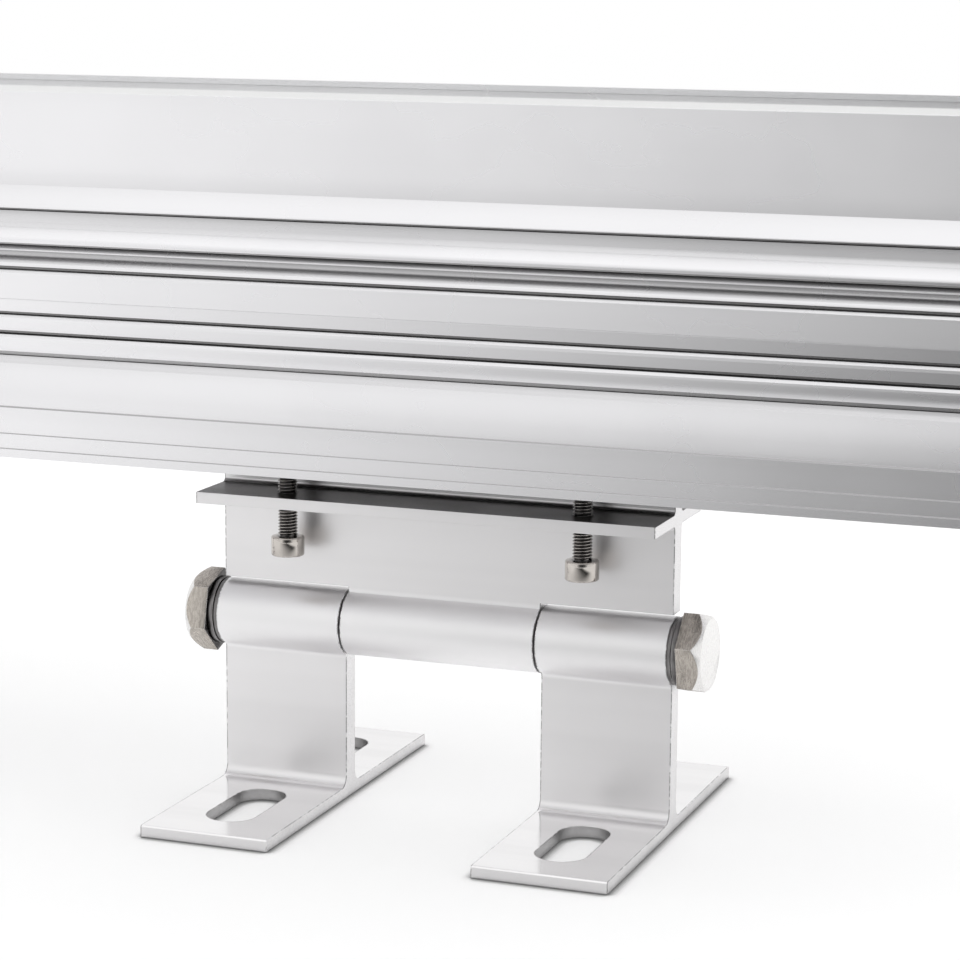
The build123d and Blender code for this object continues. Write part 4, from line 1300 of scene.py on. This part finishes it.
class FLOODLIGHT_OT_stage(bpy.types.Operator):
    """Sets the floor, the lights, the world and the camera"""

    bl_idname = "floodlight.stage"
    bl_label = "Stage"

    def execute(self, context):
        scene = context.scene
        studio = scene.floodlight_studio
        self.add_floor(studio)
        self.add_world(scene, studio)
        self.add_panel(
            "overhead_panel", place=(0.0, -0.35, 1.5), width=1.6, height=1.2, power=studio.overhead)
        self.add_panel(
            "left_panel", place=(-1.7, -0.9, 0.9), width=1.2, height=1.4, power=studio.side)
        self.add_camera(scene, studio)
        scene.view_settings.view_transform = "Standard"
        return {"FINISHED"}

    def add_floor(self, studio):
        """A pale floor with a painted contact shadow where the feet touch it, and dark in front for all but
        the camera.
        """
        fresh_selection()
        bpy.ops.mesh.primitive_plane_add(size=2.0)
        floor = settle("floor")
        with editing(floor):
            bpy.ops.mesh.subdivide(number_cuts=3)
            bpy.ops.transform.resize(value=(FLOOR_SCALE, FLOOR_SCALE, 1.0))
            bpy.ops.transform.translate(value=FLOOR_SHIFT)
        tree, shader = new_material("floor")
        tree.nodes.remove(shader)
        direct, mirrored = self.seen(tree)
        # Painted contact shadow: the floor is painted darker where a piece stands close to it.
        contact = effect(tree, "Covered film", Reach=3.0 * MM, Open=0.95, Closed=0.55)["Mask"]
        shade = math_node(tree, "MAXIMUM", self.front_shade(tree, studio), direct)
        shade = times(tree, shade, math_node(tree, "MULTIPLY_ADD", contact, -CONTACT_SHADOW_SHARE, 1.0))
        colour = mix_colours(tree, shade, BLACK, studio.floor_colour)
        diffuse = new_node(tree, "ShaderNodeBsdfDiffuse", Color=colour)
        seen = math_node(tree, "MAXIMUM", direct, mirrored)
        strength = times(tree, seen, shade, studio.floor_lift)
        lift = new_node(tree, "ShaderNodeEmission", Color=WHITE, Strength=strength)
        join_shaders(tree, "ShaderNodeAddShader", diffuse, lift)
        put_material(floor, "floor")

    def front_shade(self, tree, studio):
        """How light the floor is in metal and on the object: a wedge in front of it is dark."""
        place = own_place(tree)
        across = axis_part(tree, place, "X")
        depth = axis_part(tree, place, "Y")
        aside = math_node(tree, "SUBTRACT", WEDGE_TIP[0], across)
        ahead = math_node(tree, "SUBTRACT", WEDGE_TIP[1], depth)
        slope = math_node(tree, "ADD", math_node(tree, "DIVIDE", aside, ahead), WEDGE_TURN)
        off_axis = math_node(tree, "MAXIMUM", slope, times(tree, slope, -RIGHT_SIDE_FALL))
        inside = opposite(tree, ramp(tree, off_axis, 0.0, studio.dark_spread))
        near = ramp(tree, depth, *WEDGE_START)
        far = ramp(tree, depth, *WEDGE_END)
        return opposite(tree, times(tree, near, far, inside, 1.0 - studio.front_dark))

    def seen(self, tree):
        """Two masks: what the camera sees straight, and what metal and glass show."""
        path = tree.nodes.new("ShaderNodeLightPath").outputs
        mirrored = math_node(tree, "MAXIMUM", path["Is Glossy Ray"], path["Is Transmission Ray"])
        return path["Is Camera Ray"], mirrored

    def add_world(self, scene, studio):
        """A pale dome with a darker zone in front, white where the camera looks past the object."""
        world = bpy.data.worlds.new("studio")
        scene.world = world
        world.use_nodes = True
        tree = world.node_tree
        direction = tree.nodes.new("ShaderNodeTexCoord").outputs["Generated"]
        zone = ramp(tree, dot_product(tree, direction, Vector(DARK_AIM).normalized()), *DARK_SPAN)
        keep = math_node(tree, "MULTIPLY_ADD", zone, studio.front_dark - 1.0, 1.0)
        direct, mirrored = self.seen(tree)
        white = times(tree, mirrored, opposite(tree, zone))
        shown = math_node(tree, "MAXIMUM", white, direct)
        strength = math_node(tree, "MAXIMUM", times(tree, keep, studio.dome), shown)
        fill(tree, tree.nodes["Background"], {"Color": WHITE, "Strength": strength})

    def add_panel(self, name, place, width, height, power):
        """A soft rectangular light aimed at the middle of the lamp."""
        light = bpy.data.lights.new(name, "AREA")
        light.shape = "RECTANGLE"
        light.size = width
        light.size_y = height
        light.energy = power
        panel = bpy.data.objects.new(name, light)
        panel.location = place
        aim = Vector(LAMP_MIDDLE) - Vector(place)
        panel.rotation_euler = aim.to_track_quat("-Z", "Y").to_euler()
        bpy.context.scene.collection.objects.link(panel)

    def add_camera(self, scene, studio):
        """The camera at the photograph's place, turn and focal length."""
        azimuth, elevation, roll = (math.radians(angle) for angle in CAMERA_TURNS)
        level = math.cos(elevation)
        back = Vector((math.sin(azimuth) * level, -math.cos(azimuth) * level, math.sin(elevation)))
        side = (-back).cross(Vector((0, 0, 1))).normalized()
        top = side.cross(-back)
        right = side * math.cos(roll) + top * math.sin(roll)
        up = top * math.cos(roll) - side * math.sin(roll)
        data = bpy.data.cameras.new("camera")
        data.sensor_width = SENSOR_WIDTH
        data.lens = FOCAL_PIXELS * SENSOR_WIDTH / studio.pixels
        camera = bpy.data.objects.new("camera", data)
        scene.collection.objects.link(camera)
        turn = Matrix((right, up, back)).transposed().to_4x4()
        camera.matrix_world = Matrix.Translation(CAMERA_PLACE) @ turn
        scene.camera = camera


class FLOODLIGHT_PT_panel(bpy.types.Panel):
    """Lists the floodlight's steps and settings"""

    bl_idname = "FLOODLIGHT_PT_panel"
    bl_label = "Floodlight"
    bl_space_type = "VIEW_3D"
    bl_region_type = "UI"
    bl_category = "Floodlight"

    def draw(self, context):
        column = self.layout.column()
        for step in STEPS:
            column.operator(step.bl_idname)
        for name in SETTINGS:
            settings = getattr(context.scene, name)
            for key in settings.__annotations__:
                column.prop(settings, key)


STEPS = [
    FLOODLIGHT_OT_materials,
    FLOODLIGHT_OT_clamp_screws,
    FLOODLIGHT_OT_pivot_bolts,
    FLOODLIGHT_OT_spring_washers,
    FLOODLIGHT_OT_cap_screws,
    FLOODLIGHT_OT_dome_nuts,
    FLOODLIGHT_OT_optics,
    FLOODLIGHT_OT_board_screws,
    FLOODLIGHT_OT_stage,
]
SETTINGS = {
    "floodlight_finish": FloodlightFinish,
    "floodlight_fasteners": FloodlightFasteners,
    "floodlight_studio": FloodlightStudio,
}


def register():
    """Registers the settings, the operators and the panel."""
    for name, group in SETTINGS.items():
        bpy.utils.register_class(group)
        setattr(bpy.types.Scene, name, PointerProperty(type=group))
    for step in STEPS:
        bpy.utils.register_class(step)
    bpy.utils.register_class(FLOODLIGHT_PT_panel)


def unregister():
    """Takes all of it back."""
    bpy.utils.unregister_class(FLOODLIGHT_PT_panel)
    for step in reversed(STEPS):
        bpy.utils.unregister_class(step)
    for name, group in SETTINGS.items():
        delattr(bpy.types.Scene, name)
        bpy.utils.unregister_class(group)


def main():
    """Builds the looks."""
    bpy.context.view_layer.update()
    register()
    bpy.ops.floodlight.materials()
    bpy.ops.floodlight.clamp_screws()
    bpy.ops.floodlight.pivot_bolts()
    bpy.ops.floodlight.spring_washers()
    bpy.ops.floodlight.cap_screws()
    bpy.ops.floodlight.dome_nuts()
    bpy.ops.floodlight.optics()
    bpy.ops.floodlight.board_screws()
    bpy.ops.floodlight.stage()


if __name__ == "__main__":
    main()
